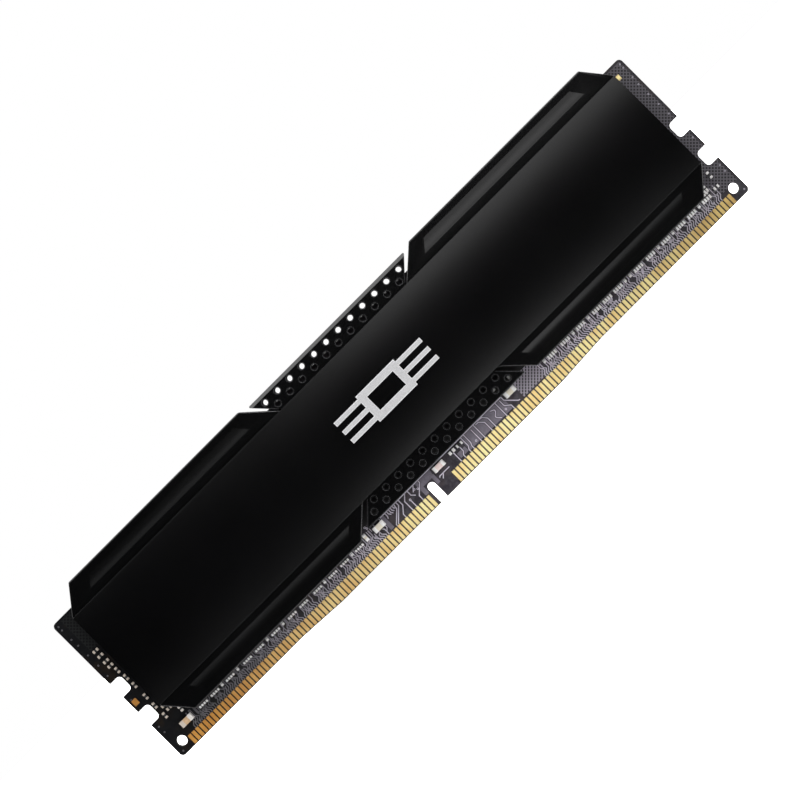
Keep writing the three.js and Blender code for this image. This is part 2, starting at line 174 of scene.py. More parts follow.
def triangles(loops):
    """Anticlockwise index triples that fill the area between closed 2-D loops."""
    points, edges = [], []
    for loop in loops:
        base, count = len(points), len(loop)
        points += [Vector((q[0], q[1])) for q in loop]
        edges += [(base + i, base + (i + 1) % count) for i in range(count)]
    _, _, faces, origin, _, _ = delaunay_2d_cdt(points, edges, [], 0, 1e-6)
    filled = []
    for face in faces:
        a, b, c = (origin[i][0] for i in face)
        at_a, at_b, at_c = points[a], points[b], points[c]
        if not inside((at_a + at_b + at_c) / 3, loops):
            continue
        to_b, to_c = at_b - at_a, at_c - at_a
        filled.append((a, b, c) if to_b.x * to_c.y - to_c.x * to_b.y > 0 else (a, c, b))
    return filled


# ================================================================ closed shells
def wall(low, high, count):
    """Quads between two rings of vertices, given the index of each ring's first vertex."""
    return [
        (low + i, low + (i + 1) % count, high + (i + 1) % count, high + i) for i in range(count)
    ]


def loft_plate(outer, holes, levels, factor=None, hole_levels=None):
    """A closed plate from outlines in (x, y).

    levels are (inset, z) pairs in order of rising z. Holes may have as many levels of their own.
    """
    outer = ccw(outer)
    holes = [hole if area2(hole) < 0 else hole[::-1] for hole in holes]
    hole_levels = hole_levels or levels
    verts, faces, cap_lo, cap_hi = [], [], [], []
    for loop, loop_levels, scale in [(outer, levels, factor)] + [
        (hole, hole_levels, None) for hole in holes
    ]:
        count = len(loop)
        rings = []
        for dist, z in loop_levels:
            rings.append(len(verts))
            verts += [(x, y, z) for x, y in inset(loop, dist, scale)]
        for low, high in zip(rings, rings[1:]):
            faces += wall(low, high, count)
        cap_lo.append([rings[0] + i for i in range(count)])
        cap_hi.append([rings[-1] + i for i in range(count)])
    for loops, is_top in ((cap_lo, False), (cap_hi, True)):
        index = [i for loop in loops for i in loop]
        for tri in triangles([[verts[i][:2] for i in loop] for loop in loops]):
            a, b, c = (index[t] for t in tri)
            faces.append((a, b, c) if is_top else (a, c, b))
    return verts, faces


def round_levels(low, high, low_radius, high_radius):
    """Levels for a plate from z low to z high with rounded edges below and above."""
    quarter = [math.pi / 4 * k for k in range(3)]
    levels = [(0, low)]
    if low_radius > 0:
        levels = [
            (low_radius * (1 - math.sin(a)), low + low_radius * (1 - math.cos(a)))
            for a in quarter
        ]
    return levels + [
        (high_radius * (1 - math.cos(a)), high - high_radius * (1 - math.sin(a)))
        for a in quarter
    ]


def box(x0, x1, y0, y1, corner, levels, seg=3):
    """A rectangular plate with rounded corners."""
    return loft_plate(box_loop(x0, x1, y0, y1, corner, seg), [], levels)


def sweep(profile, x0, x1):
    """A closed bar along x from a profile in (y, z)."""
    profile = ccw(profile)
    count = len(profile)
    verts = [(x, y, z) for x in (x0, x1) for y, z in profile]
    faces = wall(0, count, count)
    for tri in triangles([profile]):
        faces.append(tuple(count + i for i in tri))
        faces.append(tuple(tri[::-1]))
    return verts, faces


# ================================================================ objects
def make_object(name, verts, faces, materials=(), face_materials=None, to_world=None):
    mesh = bpy.data.meshes.new(name)
    mesh.from_pydata(verts, [], faces)
    if face_materials is not None:
        mesh.polygons.foreach_set("material_index", face_materials)
    for material in materials:
        mesh.materials.append(material)
    mesh.update()
    obj = bpy.data.objects.new(name, mesh)
    scene.collection.objects.link(obj)
    if to_world is not None:
        mesh.transform(to_world)
        mesh.update()
    return obj


class Build:
    """Collects many closed shells into one mesh."""

    def __init__(self):
        self.verts, self.faces, self.slots = [], [], []

    def add(self, shell, slot=0):
        verts, faces = shell
        base = len(self.verts)
        self.verts += verts
        self.faces += [tuple(i + base for i in face) for face in faces]
        self.slots += [slot] * len(faces)

    def object(self, name, materials, to_world=None):
        return make_object(name, self.verts, self.faces, materials, self.slots, to_world)


def solid(shell, name="tmp"):
    return make_object(name, *shell)


def boolean(obj, tool, operation):
    """Applies a boolean to obj and deletes the tool."""
    mod = obj.modifiers.new("boolean", "BOOLEAN")
    mod.operation, mod.solver, mod.object = operation, "MANIFOLD", tool
    bpy.context.view_layer.update()
    mesh = bpy.data.meshes.new_from_object(
        obj.evaluated_get(bpy.context.evaluated_depsgraph_get())
    )
    obj.modifiers.clear()
    if not mesh.vertices or len(mesh.vertices) == len(obj.data.vertices):
        raise RuntimeError(f"{operation} left {obj.name} as it was")
    old, obj.data = obj.data, mesh
    bpy.data.meshes.remove(old)
    tool_mesh = tool.data
    bpy.data.objects.remove(tool)
    bpy.data.meshes.remove(tool_mesh)
    return obj


def dress(obj, material, to_world):
    """Carries a carved solid into the world and gives it its material."""
    obj.data.transform(to_world)
    obj.data.materials.clear()
    obj.data.materials.append(material)


def finish(obj, node=None, angle=40, weighted=True):
    obj.data.shade_smooth()
    obj.data.set_sharp_from_angle(angle=math.radians(angle))
    if weighted:
        mod = obj.modifiers.new("weighted_normals", "WEIGHTED_NORMAL")
        mod.mode, mod.keep_sharp, mod.weight = "FACE_AREA", True, 50
    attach(obj, "root")
    if node:
        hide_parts(node)


# ================================================================ material tools
class Nodes:
    """A short way to write a material's node graph. Lengths are in metres."""

    def __init__(self, name):
        self.material = bpy.data.materials.new(name)
        self.material.use_nodes = True
        self.tree = self.material.node_tree
        self.tree.nodes.clear()
        self.out = self.new("OutputMaterial")
        self.coord = self.new("TexCoord").outputs["Object"]

    def new(self, kind):
        return self.tree.nodes.new("ShaderNode" + kind)

    def put(self, socket, value):
        """Links an output to a socket, or sets the socket's value."""
        if hasattr(value, "is_output"):
            self.tree.links.new(value, socket)
        elif isinstance(value, (tuple, list)) and len(value) == 3 and socket.type == "RGBA":
            socket.default_value = (*value, 1)
        else:
            socket.default_value = value

    def node(self, kind, **inputs):
        made = self.new(kind)
        for key, value in inputs.items():
            self.put(made.inputs[key.replace("_", " ")], value)
        return made

    def math(self, operation, first, second=0.0):
        made = self.new("Math")
        made.operation = operation
        for i, value in enumerate((first, second, 0.0)):
            self.put(made.inputs[i], value)
        return made.outputs[0]

    def fold(self, operation, values):
        total = values[0]
        for value in values[1:]:
            total = self.math(operation, total, value)
        return total

    def times(self, *values):
        return self.fold("MULTIPLY", values)

    def plus(self, *values):
        return self.fold("ADD", values)

    def between(self, value, low, high):
        """1 where low < value < high, else 0."""
        above = self.math("GREATER_THAN", value, low)
        return self.times(above, self.math("LESS_THAN", value, high))

    def wave(self, value, period):
        return self.math("SINE", self.times(value, 2 * math.pi / period))

    def scaled(self, factor):
        made = self.new("Mapping")
        made.inputs["Scale"].default_value = factor
        self.put(made.inputs["Vector"], self.coord)
        return made.outputs[0]

    def noise(self, scale, detail=3.0, rough=0.5, vector=None):
        made = self.node(
            "TexNoise", Vector=vector or self.coord, Scale=scale, Detail=detail, Roughness=rough
        )
        return made.outputs["Fac"]

    def ramp(self, value, span=(0.3, 0.7), to=(0.0, 1.0)):
        """Maps the span of a value onto another range, clamped."""
        made = self.node(
            "MapRange", Value=value, From_Min=span[0], From_Max=span[1], To_Min=to[0], To_Max=to[1]
        )
        made.clamp = True
        return made.outputs[0]

    def mix(self, factor, under, over):
        """The colour under where factor is 0, over where it is 1."""
        made = self.new("Mix")
        made.data_type = "RGBA"
        for i, value in ((0, factor), (6, under), (7, over)):
            self.put(made.inputs[i], value)
        return made.outputs[2]

    def mix_shader(self, factor, under, over):
        made = self.new("MixShader")
        for i, value in enumerate((factor, under, over)):
            self.put(made.inputs[i], value.outputs[0] if hasattr(value, "outputs") else value)
        return made

    def split(self):
        return self.node("SeparateXYZ", Vector=self.coord).outputs

    def bump(self, height, distance, strength):
        return self.node("Bump", Height=height, Distance=distance, Strength=strength).outputs[0]

    def edge(self, radius):
        """1 on sharp edges, 0 on flat faces."""
        bevel = self.node("Bevel", Radius=radius)
        bevel.samples = 4
        dot = self.new("VectorMath")
        dot.operation = "DOT_PRODUCT"
        self.put(dot.inputs[0], bevel.outputs[0])
        self.put(dot.inputs[1], self.new("NewGeometry").outputs["Normal"])
        return self.ramp(dot.outputs["Value"], span=(0.995, 0.90))

    def surface(self, **inputs):
        shader = self.node("BsdfPrincipled", **inputs)
        self.put(self.out.inputs["Surface"], shader.outputs[0])
        return self.material


def shade(colour, amount):
    return tuple(amount * c for c in colour)


def along(mat, x):
    """0 at the left end, 1 in the middle, less at the right, by the board's length; the dark left
    end is painted shade.
    """
    rise = mat.ramp(x, span=(-0.056, -0.008))
    return mat.times(rise, mat.ramp(x, span=(0.034, 0.064), to=(1.0, 0.45)))


# ================================================================ materials
def anodised():
    mat = Nodes("black_anodised_aluminium")
    cloud = mat.noise(scale=60, rough=0.55)
    grain = mat.noise(scale=9000, detail=2, rough=0.6)
    blast = mat.noise(scale=3200, detail=2)
    edge = mat.edge(radius=0.00012)
    base = mat.mix(cloud, under=(0.0003, 0.0003, 0.0004), over=(0.0008, 0.0008, 0.0010))
    # A painted highlight: the slanted edges and the vents' rims are lightened as if catching light,
    # the channels' edges aren't.
    x, _, z = mat.split()
    reach = mat.math("ABSOLUTE", x)
    low = mat.between(z, low=0.0056, high=0.0091)
    high = mat.between(z, low=0.0301, high=0.0337)
    high = mat.times(high, mat.math("LESS_THAN", reach, 0.030))
    channels = mat.times(
        mat.between(reach, low=0.0198, high=0.0586),
        mat.plus(
            mat.between(z, low=0.0058, high=0.0091), mat.between(z, low=0.0301, high=0.0335)
        ),
    )
    painted_highlight_zones = mat.times(mat.plus(low, high), mat.math("SUBTRACT", 1.0, channels))
    # Painted highlight: sharp edges in these zones get a lighter colour.
    base = mat.mix(mat.times(edge, painted_highlight_zones), base, over=(0.105, 0.105, 0.110))
    rough = mat.plus(mat.times(cloud, 0.6), mat.times(grain, 0.4))  # shares of the two noises
    rough = mat.ramp(rough, to=(0.19, 0.225))
    rough = mat.plus(rough, mat.times(edge, painted_highlight_zones, 0.12))  # edges under the painted highlight are this much rougher
    height = mat.plus(mat.times(grain, 0.4), mat.times(blast, 0.6))
    return mat.surface(
        Base_Color=base,
        Metallic=0.0,
        Roughness=rough,
        Specular_IOR_Level=0.5,
        Normal=mat.bump(height, distance=0.0000016, strength=0.6),
    )


def solder_mask():
    mat = Nodes("black_solder_mask")
    x, _, z = mat.split()
    weave_period = 0.00045  # the glass weave under the mask
    weave = mat.times(mat.wave(x, weave_period), mat.wave(z, weave_period))

    def lines(sign, pitch, width):
        """Diagonal lines. They slope the other way when sign changes."""
        slanted = mat.plus(x, mat.times(z, sign))
        phase = mat.math("FRACT", mat.math("DIVIDE", slanted, pitch * 1.4142))
        off_centre = mat.math("ABSOLUTE", mat.math("SUBTRACT", phase, 0.5))
        half, blur = width / pitch / 2, 0.06
        return mat.ramp(off_centre, span=(half + blur, half - blur))

    def region(x_span, z_span):
        return mat.times(mat.between(x, *x_span), mat.between(z, *z_span))

    # Copper mesh: crossed lines at both ends of the board and beside the lower strip
    cross = mat.math(
        "MAXIMUM",
        lines(1, pitch=0.00052, width=0.00018),
        lines(-1, pitch=0.00052, width=0.00018),
    )
    column = mat.math(
        "MAXIMUM",
        region((0.0605, 0.0662), (0.0032, 0.0308)),
        region((-0.0650, -0.0622), (0.0238, 0.0308)),
    )
    faint = 0.75  # strength of the second set of lines beside the strip
    slant = mat.math(
        "MAXIMUM",
        lines(-1, pitch=0.00050, width=0.00023),
        mat.times(lines(1, pitch=0.00050, width=0.00018), faint),
    )
    beside_strip = mat.times(region((0.0158, 0.0216), (0.0027, 0.0062)), slant)
    mesh = mat.math("MAXIMUM", mat.times(cross, column), beside_strip)

    mottle = mat.noise(scale=900, detail=4, rough=0.65)
    tint = mat.noise(scale=420, detail=2)
    # Painted shade: the mask's colours are much darker towards the left end, and less bright at the
    # right end.
    tone = along(mat, x)
    dark = mat.mix(tone, under=(0.0040, 0.0042, 0.0050), over=(0.0200, 0.0165, 0.0235))
    lit = mat.mix(tone, under=(0.012, 0.013, 0.013), over=(0.350, 0.325, 0.380))
    warm = mat.mix(tone, under=(0.014, 0.009, 0.005), over=(0.050, 0.034, 0.036))
    base = mat.mix(mat.ramp(mottle, span=(0.42, 0.72), to=(0.0, 0.13)), dark, lit)
    base = mat.mix(mat.ramp(tint, span=(0.52, 0.68), to=(0.0, 0.55)), base, warm)
    base = mat.mix(mat.times(column, 0.9), base, over=(0.0035, 0.0032, 0.0040))
    # Painted shade: very dark under the middle of the spreader, behind the vents.
    middle = region((-0.0200, 0.0200), (0.0062, 0.0300))
    base = mat.mix(middle, base, over=(0.0015, 0.0015, 0.0018))
    right_column = mat.times(column, mat.ramp(x, span=(0.030, 0.060)))
    base = mat.mix(mesh, base, mat.mix(right_column, lit, over=(0.080, 0.074, 0.086)))
    # Relief: shares of the weave, the mesh and the mottle
    height = mat.plus(mat.times(weave, 0.15), mat.times(mesh, 1.0), mat.times(mottle, 0.3))
    return mat.surface(
        Base_Color=base,
        Roughness=mat.ramp(mottle, to=(0.40, 0.55)),
        Specular_IOR_Level=mat.ramp(x, span=(-0.064, -0.045), to=(0.10, 0.4)),
        Normal=mat.bump(height, distance=0.000012, strength=0.7),
    )


def mask_over_copper(name, left, middle, speckle):
    """Mask that goes from one colour at the left end to another in the middle; the darker left end
    is painted shade.
    """
    mat = Nodes(name)
    x, _, _ = mat.split()
    # Painted shade: darker towards the left end.
    tone = along(mat, x)
    speck = mat.noise(scale=2500, rough=0.6)
    cloud = mat.noise(scale=700, rough=0.6)
    base = mat.mix(tone, left, middle)
    specks = mat.ramp(speck, span=(0.35, 0.65), to=(0.0, speckle))
    base = mat.mix(specks, base, shade(middle, amount=0.35))
    clouds = mat.ramp(cloud, span=(0.45, 0.7), to=(0.0, speckle * 0.7))
    base = mat.mix(clouds, base, shade(middle, amount=0.45))
    return mat.surface(
        Base_Color=base,
        Roughness=mat.ramp(speck, to=(0.34, 0.5)),
        Specular_IOR_Level=0.5,
        Normal=mat.bump(speck, distance=0.000004, strength=0.5),
    )


def board_edge():
    mat = Nodes("board_edge_laminate")
    _, y, _ = mat.split()
    layers = mat.wave(y, period=0.00018)
    fibre = mat.noise(scale=1, rough=0.6, vector=mat.scaled((900, 9000, 900)))
    fibres = mat.ramp(fibre, span=(0.35, 0.65))
    base = mat.mix(fibres, under=(0.030, 0.026, 0.020), over=(0.085, 0.074, 0.055))
    dark_layers = mat.ramp(layers, span=(0.55, 0.9), to=(0.0, 0.6))
    base = mat.mix(dark_layers, base, over=(0.012, 0.011, 0.010))
    return mat.surface(
        Base_Color=base,
        Roughness=mat.ramp(fibre, to=(0.55, 0.8)),
        Normal=mat.bump(fibre, distance=0.00002, strength=0.6),
    )


def gold():
    mat = Nodes("gold_plating")
    x, _, z = mat.split()
    # Painted light: darker and more orange towards the left end, brighter and paler towards the
    # middle.
    tone = mat.ramp(x, span=(-0.058, -0.004))
    # Duller low down towards the right end
    end = mat.times(
        mat.ramp(x, span=(0.030, 0.062)), mat.ramp(z, span=(0.004, 0.006), to=(1.0, 0.0))
    )
    cloud = mat.noise(scale=300, rough=0.6)
    lines = mat.noise(scale=1, detail=4, rough=0.7, vector=mat.scaled((16000, 900, 500)))
    edge = mat.edge(radius=0.00016)
    warm = mat.mix(tone, under=(0.47, 0.20, 0.035), over=(0.95, 0.72, 0.30))
    pale = mat.mix(tone, under=(0.60, 0.30, 0.060), over=(1.00, 0.92, 0.46))
    base = mat.mix(mat.ramp(cloud, span=(0.35, 0.65)), warm, pale)
    clouds = mat.ramp(cloud, span=(0.35, 0.65))
    dull = mat.mix(clouds, under=(0.42, 0.27, 0.085), over=(0.60, 0.45, 0.16))
    base = mat.mix(end, base, dull)
    base = mat.mix(mat.times(edge, 0.6), base, over=(0.22, 0.10, 0.03))
    return mat.surface(
        Base_Color=base,
        Metallic=0.35,
        Roughness=mat.ramp(lines, to=(0.42, 0.58)),
        Normal=mat.bump(lines, distance=0.0000015, strength=0.7),
    )


def tin():
    mat = Nodes("tinned_terminal")
    x, _, _ = mat.split()
    grain = mat.noise(scale=4200, detail=4, rough=0.6)
    bright = (1.0, 0.99, 0.98)
    base = mat.mix(mat.ramp(grain), shade(bright, amount=0.92), bright)
    # Painted shade: the terminals are darker at the left end; they are also darker at the right
    # end.
    left_end = mat.ramp(x, span=(-0.0622, -0.0600), to=(0.75, 0.0))
    base = mat.mix(left_end, base, over=(0.40, 0.31, 0.22))
    right_end = mat.ramp(x, span=(0.0590, 0.0612), to=(0.0, 0.45))
    base = mat.mix(right_end, base, over=(0.30, 0.27, 0.26))
    return mat.surface(
        Base_Color=base,
        Metallic=0.0,
        Roughness=mat.ramp(grain, to=(0.34, 0.55)),
        Normal=mat.bump(grain, distance=0.00001, strength=0.6),
    )


def ceramic(name, under, over):
    mat = Nodes(name)
    grain = mat.noise(scale=2600, detail=4, rough=0.6)
    return mat.surface(
        Base_Color=mat.mix(mat.ramp(grain), under, over),
        Roughness=mat.ramp(grain, to=(0.42, 0.6)),
        Normal=mat.bump(grain, distance=0.000006, strength=0.6),
    )


def epoxy():
    mat = Nodes("moulded_epoxy")
    grain = mat.noise(scale=5200, detail=4, rough=0.65)
    cloud = mat.noise(scale=300, detail=2)
    return mat.surface(
        Base_Color=mat.mix(cloud, under=(0.016, 0.016, 0.018), over=(0.028, 0.028, 0.030)),
        Roughness=mat.ramp(grain, to=(0.5, 0.7)),
        Normal=mat.bump(grain, distance=0.000012, strength=0.7),
    )


def silicone():
    mat = Nodes("silicone_pad")
    mottle = mat.noise(scale=900, detail=4, rough=0.6)
    grain = mat.noise(scale=6000, rough=0.7)
    tone = mat.ramp(mottle, span=(0.35, 0.65))
    return mat.surface(
        Base_Color=mat.mix(tone, under=(0.22, 0.235, 0.25), over=(0.34, 0.355, 0.37)),
        Roughness=mat.ramp(grain, to=(0.75, 0.95)),
        Normal=mat.bump(mat.plus(mottle, grain), distance=0.00003, strength=0.7),
    )


def silver():
    mat = Nodes("satin_silver_inlay")
    grain = mat.noise(scale=9000, rough=0.6)
    cloud = mat.noise(scale=380, rough=0.55)
    edge = mat.edge(radius=0.00028)
    fine = mat.noise(scale=5200, detail=2, rough=0.7)
    base = mat.mix(cloud, under=(0.50, 0.50, 0.51), over=(0.61, 0.61, 0.62))
    specks = mat.ramp(fine, span=(0.38, 0.66), to=(0.0, 0.55))
    base = mat.mix(specks, base, over=(0.30, 0.30, 0.31))
    base = mat.mix(edge, base, over=(0.86, 0.86, 0.87))
    return mat.surface(
        Base_Color=base,
        Metallic=0.2,
        Roughness=mat.ramp(grain, to=(0.40, 0.55)),
        Normal=mat.bump(grain, distance=0.000003, strength=0.7),
    )


def label_film():
    mat = Nodes("label_film")
    mottle = mat.noise(scale=1500, detail=4, rough=0.6)
    streaks = mat.noise(scale=1, vector=mat.scaled((200, 200, 4000)))
    tone = mat.ramp(mottle)
    return mat.surface(
        Base_Color=mat.mix(tone, under=(0.50, 0.50, 0.505), over=(0.61, 0.61, 0.615)),
        Metallic=0.25,
        Roughness=mat.ramp(streaks, to=(0.38, 0.52)),
        Normal=mat.bump(mottle, distance=0.000006, strength=0.6),
    )


BLACK = anodised()
MASK = solder_mask()
# The left colours are painted shade at the board's left end.
TRACE = mask_over_copper(
    "solder_mask_over_traces", left=(0.075, 0.075, 0.080), middle=(0.74, 0.69, 0.80), speckle=0.28
)
POUR = mask_over_copper(
    "solder_mask_over_pour", left=(0.022, 0.022, 0.024), middle=(0.205, 0.185, 0.230), speckle=0.35
)
GAP = mask_over_copper(
    "solder_mask_over_laminate",
    left=(0.006, 0.006, 0.007),
    middle=(0.040, 0.036, 0.045),
    speckle=0.3,
)
LAMINATE = board_edge()
GOLD = gold()
TIN = tin()
CREAM = ceramic("cream_ceramic", under=(0.80, 0.74, 0.60), over=(0.92, 0.87, 0.74))
TAN = ceramic("tan_ceramic", under=(0.46, 0.30, 0.16), over=(0.66, 0.46, 0.28))
PINK = ceramic("pink_ceramic", under=(0.88, 0.70, 0.67), over=(0.96, 0.82, 0.79))
GLAZE = ceramic("black_glaze", under=(0.012, 0.012, 0.013), over=(0.024, 0.023, 0.024))
EPOXY = epoxy()
SILICONE = silicone()
SILVER = silver()
LABEL = label_film()

# ================================================================ heat spreaders
# Right-hand wings; the left ones are mirrored. Outlines are (x, y), sections (y, z), each with
# a radius for every corner, and levels (inset, z). A channel starts at height start and runs
# away from the band (way +1 up, -1 down). Its profile is (distance, depth): a short ramp, a
# floor that deepens more and more gently, and a steep outer wall. near and far are the x of
# its two ends, next to the band and one channel width out.
CHANNEL_WIDTH = 2.15
UPPER_WING = dict(
    outline=[
        (13.5, 28.5), (SPREADER_END, 28.5), (SPREADER_END, 29.9), (59.65, 34.45),
        (20.05, 34.45), (15.0, 29.85), (14.8, 29.6),
    ],
    radii=[0, 0, 0.9, 0.35, 0.35, 0.2, 0.2],
    levels=[(0.0, 0.2), (0.0, 3.10), (0.05, WING_FACE)],
    section=[
        (28.5, 2.2), (33.6, 2.2), (33.6, 0.5), (34.45, 0.5), (34.45, WING_FACE),
        (28.5, WING_FACE),
    ],
    section_radii=[0, 0.1, 0.1, 0.2, 0.3, 0],
    channel=dict(
        start=31.05, way=1, near=(20.5, 57.8), far=(22.2, 56.3),
        profile=[
            (0.0, 0.0), (0.20, 0.050), (0.75, 0.132), (1.10, 0.172), (1.50, 0.207),
            (2.12, 0.254), (CHANNEL_WIDTH, 0.0),
        ],
    ),
)
LOWER_WING = dict(
    outline=[
        (59.5, 4.8), (SPREADER_END, 9.1), (SPREADER_END, 10.61), (13.5, 10.61),
        (15.6, 9.55), (15.9, 9.3), (20.7, 4.8),
    ],
    radii=[0.35, 0.5, 0, 0, 0.2, 0.2, 0.35],
    levels=[(0.0, 0.2), (0.0, 3.04), (0.01, 3.06), (0.08, 3.13), (0.1, WING_FACE)],
    section=[(4.8, 2.2), (10.61, 2.2), (10.61, WING_FACE), (4.8, WING_FACE)],
    section_radii=[0.1, 0, 0, 0.22],
    channel=dict(
        start=8.3, way=-1, near=(20.2, 57.6), far=(22.15, 56.2),
        profile=[
            (0.0, 0.0), (0.06, 0.014), (0.50, 0.094), (0.85, 0.136), (1.25, 0.162),
            (1.70, 0.174), (2.12, 0.180), (CHANNEL_WIDTH, 0.0),
        ],
    ),
)

# Vented strips: outlines, sections and levels as for the wings. vents are rows of
# (y, number of holes), with the holes' radius and the width of their countersink.
VENT_PITCH = 2.84
UPPER_STRIP = dict(
    outline=[
        (-14.4, 28.5), (14.4, 28.5), (14.5, 29.75), (18.35, 33.84), (-18.35, 33.84),
        (-14.5, 29.75),
    ],
    radii=[0, 0, 0.2, 0.2, 0.2, 0.2],
    levels=[(0.0, 0.3), (0.0, 2.67), (0.08, 2.76)],
    section=[
        (28.5, 2.1), (33.34, 2.1), (33.34, 0.8), (33.84, 0.8), (33.84, 2.17),
        (33.26, STRIP_FACE), (28.5, STRIP_FACE),
    ],
    section_radii=[0, 0.1, 0.1, 0.06, 0.12, 0.1, 0],
    vents=[(32.41, 12), (30.82, 11)], vent_radius=0.5, countersink=0.11,
)
LOWER_STRIP = dict(
    outline=[
        (-18.6, 5.54), (18.6, 5.54), (14.85, 9.35), (14.4, 10.61), (-14.4, 10.61),
        (-14.85, 9.35),
    ],
    radii=[0.2, 0.2, 0.2, 0, 0, 0.2],
    levels=[(0.0, 2.1), (0.0, 2.66), (0.09, STRIP_FACE)],
    vents=[(8.39, 11), (6.87, 12)], vent_radius=0.42, countersink=0.17,
)


def crown(offset):
    """z of the band's outer face at a height above or below its middle."""
    return 4.0 - 0.5 * (offset / BAND_HALF) ** 2


def band_profile():
    """The band's section in (y, z): straight sides, rounded shoulders and a crowned top."""
    base_z, radius = 2.5, 0.025
    reach = BAND_HALF - radius
    lip = crown(reach)
    top = [(BAND_MID + reach * k / 30, crown(reach * k / 30)) for k in range(-30, 31)]
    # (in from the side, down from the lip), going up the shoulder
    shoulder = [
        (radius * (1 - math.cos(a)), radius * (1 - math.sin(a)))
        for a in (math.pi / 2 * k / 4 for k in range(4))
    ]
    upper = [(BAND[1] - across, lip - down) for across, down in shoulder]
    lower = [(BAND[0] + across, lip - down) for across, down in shoulder]
    return [(BAND[0], base_z), (BAND[1], base_z)] + upper + top[::-1] + lower[::-1]


def channel_cutter(side, start, way, near, far, profile):
    """Cuts one sunken channel. side is +1 or -1 along x."""
    inner, outer, top = start - way * 0.12, start + way * 2.21, 3.6
    floor_line = [(start + way * dist, WING_FACE - depth) for dist, depth in profile]
    section = [(inner, top), (inner, 3.19)] + floor_line + [(outer, 3.25), (outer, top)]
    bar = solid(sweep(section, -61, 61))
    # The plate runs past the section on both sides, so it shapes only the channel's ends.
    slopes = [(b - a) / CHANNEL_WIDTH for a, b in zip(near, far)]
    outline = [
        (near[end] + slopes[end] * dist, start + way * dist)
        for end, dist in ((0, -0.6), (1, -0.6), (1, 2.8), (0, 2.8))
    ]
    if side < 0:
        outline = mirror_x(outline)
    levels = [(0.07, 2.6), (0.05, 2.80), (0.01, 3.1), (0.0, WING_FACE), (-0.02, 3.8)]
    return boolean(bar, solid(loft_plate(outline, [], levels)), "INTERSECT")


def wing(shape, side):
    outline = fillet(shape["outline"], shape["radii"])
    if side < 0:
        outline = mirror_x(outline)
    plate = solid(loft_plate(outline, [], shape["levels"]))
    section = fillet(shape["section"], shape["section_radii"])
    boolean(plate, solid(sweep(section, -SPREADER_END - 1, SPREADER_END + 1)), "INTERSECT")
    return boolean(plate, channel_cutter(side, **shape["channel"]), "DIFFERENCE")


def vent_cutter(x, y, radius, sink):
    """A vent with a small countersink on its outer face."""
    count = 28
    rim = radius + sink + 0.005
    rings = [
        (radius, 1.6),
        (radius, STRIP_FACE - sink),
        (radius + sink * 0.08, STRIP_FACE - sink * 0.88),
        (radius + sink * 0.85, STRIP_FACE - sink * 0.1),
        (radius + sink, STRIP_FACE + 0.01),
        (rim, STRIP_FACE + 0.03),
        (rim, STRIP_FACE + 0.3),
    ]
    verts, faces = [], []
    for ring_radius, z in rings:
        verts += [(px, py, z) for px, py in circle(x, y, ring_radius, count)]
    for k in range(len(rings) - 1):
        faces += wall(k * count, (k + 1) * count, count)
    faces.append(tuple(range(count))[::-1])
    faces.append(tuple((len(rings) - 1) * count + i for i in range(count)))
    return verts, faces


def vented_strip(shape):
    outline = fillet(shape["outline"], shape["radii"], 4)
    plate = solid(loft_plate(outline, [], shape["levels"]))
    if "section" in shape:
        section = fillet(shape["section"], shape["section_radii"], 4)
        boolean(plate, solid(sweep(section, -40, 40)), "INTERSECT")
    holes = Build()
    for y, count in shape["vents"]:
        for i in range(count):
            x = (i - (count - 1) / 2) * VENT_PITCH
            holes.add(vent_cutter(x, y, shape["vent_radius"], shape["countersink"]))
    return boolean(plate, holes.object("tmp_vents", []), "DIFFERENCE")


def badge_outline(grow=0.0):
    """The badge's outline and its window: a block with three bars out to each side."""
    centre_y = 19.6
    body, tip, top, half_bar = 4.4 + grow, 10.0 + grow, 2.9 + grow, 0.42 + grow
    right = [(body, -top)]
    for y in (-1.95, 0.0, 1.95):
        low, high = y - half_bar, y + half_bar
        right += [(body, low), (tip, low), (tip, high), (body, high)]
    right.append((body, top))
    loop = right + [(-x, -y) for x, y in right]
    half_x, half_y = 3.0 - grow, 1.55 - grow
    window = [(-half_x, -half_y), (-half_x, half_y), (half_x, half_y), (half_x, -half_y)]
    return [[(x, y + centre_y) for x, y in points] for points in (loop, window)]


def crown_patch(bar, rectangle, corner, top, name="tmp"):
    """A rounded rectangle that follows the crown, from 0.12 below its surface to top above.

    bar and rectangle are half sizes (x, y) of the curved bar and of the plate that trims it.
    """
    offsets = [bar[1] * k / 16 for k in range(-16, 17)]
    below = [(BAND_MID + t, crown(t) - 0.12) for t in offsets]
    above = [(BAND_MID + t, crown(t) + top) for t in offsets]
    patch = solid(sweep(below + above[::-1], -bar[0], bar[0]), name)
    half_x, half_y = rectangle
    trim = box(
        -half_x, half_x, BAND_MID - half_y, BAND_MID + half_y, corner, [(0, 3), (0, 5)], seg=6
    )
    return boolean(patch, solid(trim), "INTERSECT")


def badge_recess():
    outer, window = badge_outline(grow=0.05)
    return solid(loft_plate(outer, [window], [(0, 3.85), (0, 4.3)]))


def label_recess():
    return crown_patch(bar=(31.5, 5.7), rectangle=(31.1, 5.6), corner=0.8, top=0.3)


def heat_spreader(name, recess, to_world, node):
    body = solid(sweep(band_profile(), -SPREADER_END, SPREADER_END), name)
    for side in (1, -1):
        for shape in (UPPER_WING, LOWER_WING):
            boolean(body, wing(shape, side), "UNION")
    for shape in (UPPER_STRIP, LOWER_STRIP):
        boolean(body, vented_strip(shape), "UNION")
    boolean(body, recess(), "DIFFERENCE")
    dress(body, BLACK, to_world)
    finish(body, node, angle=28)


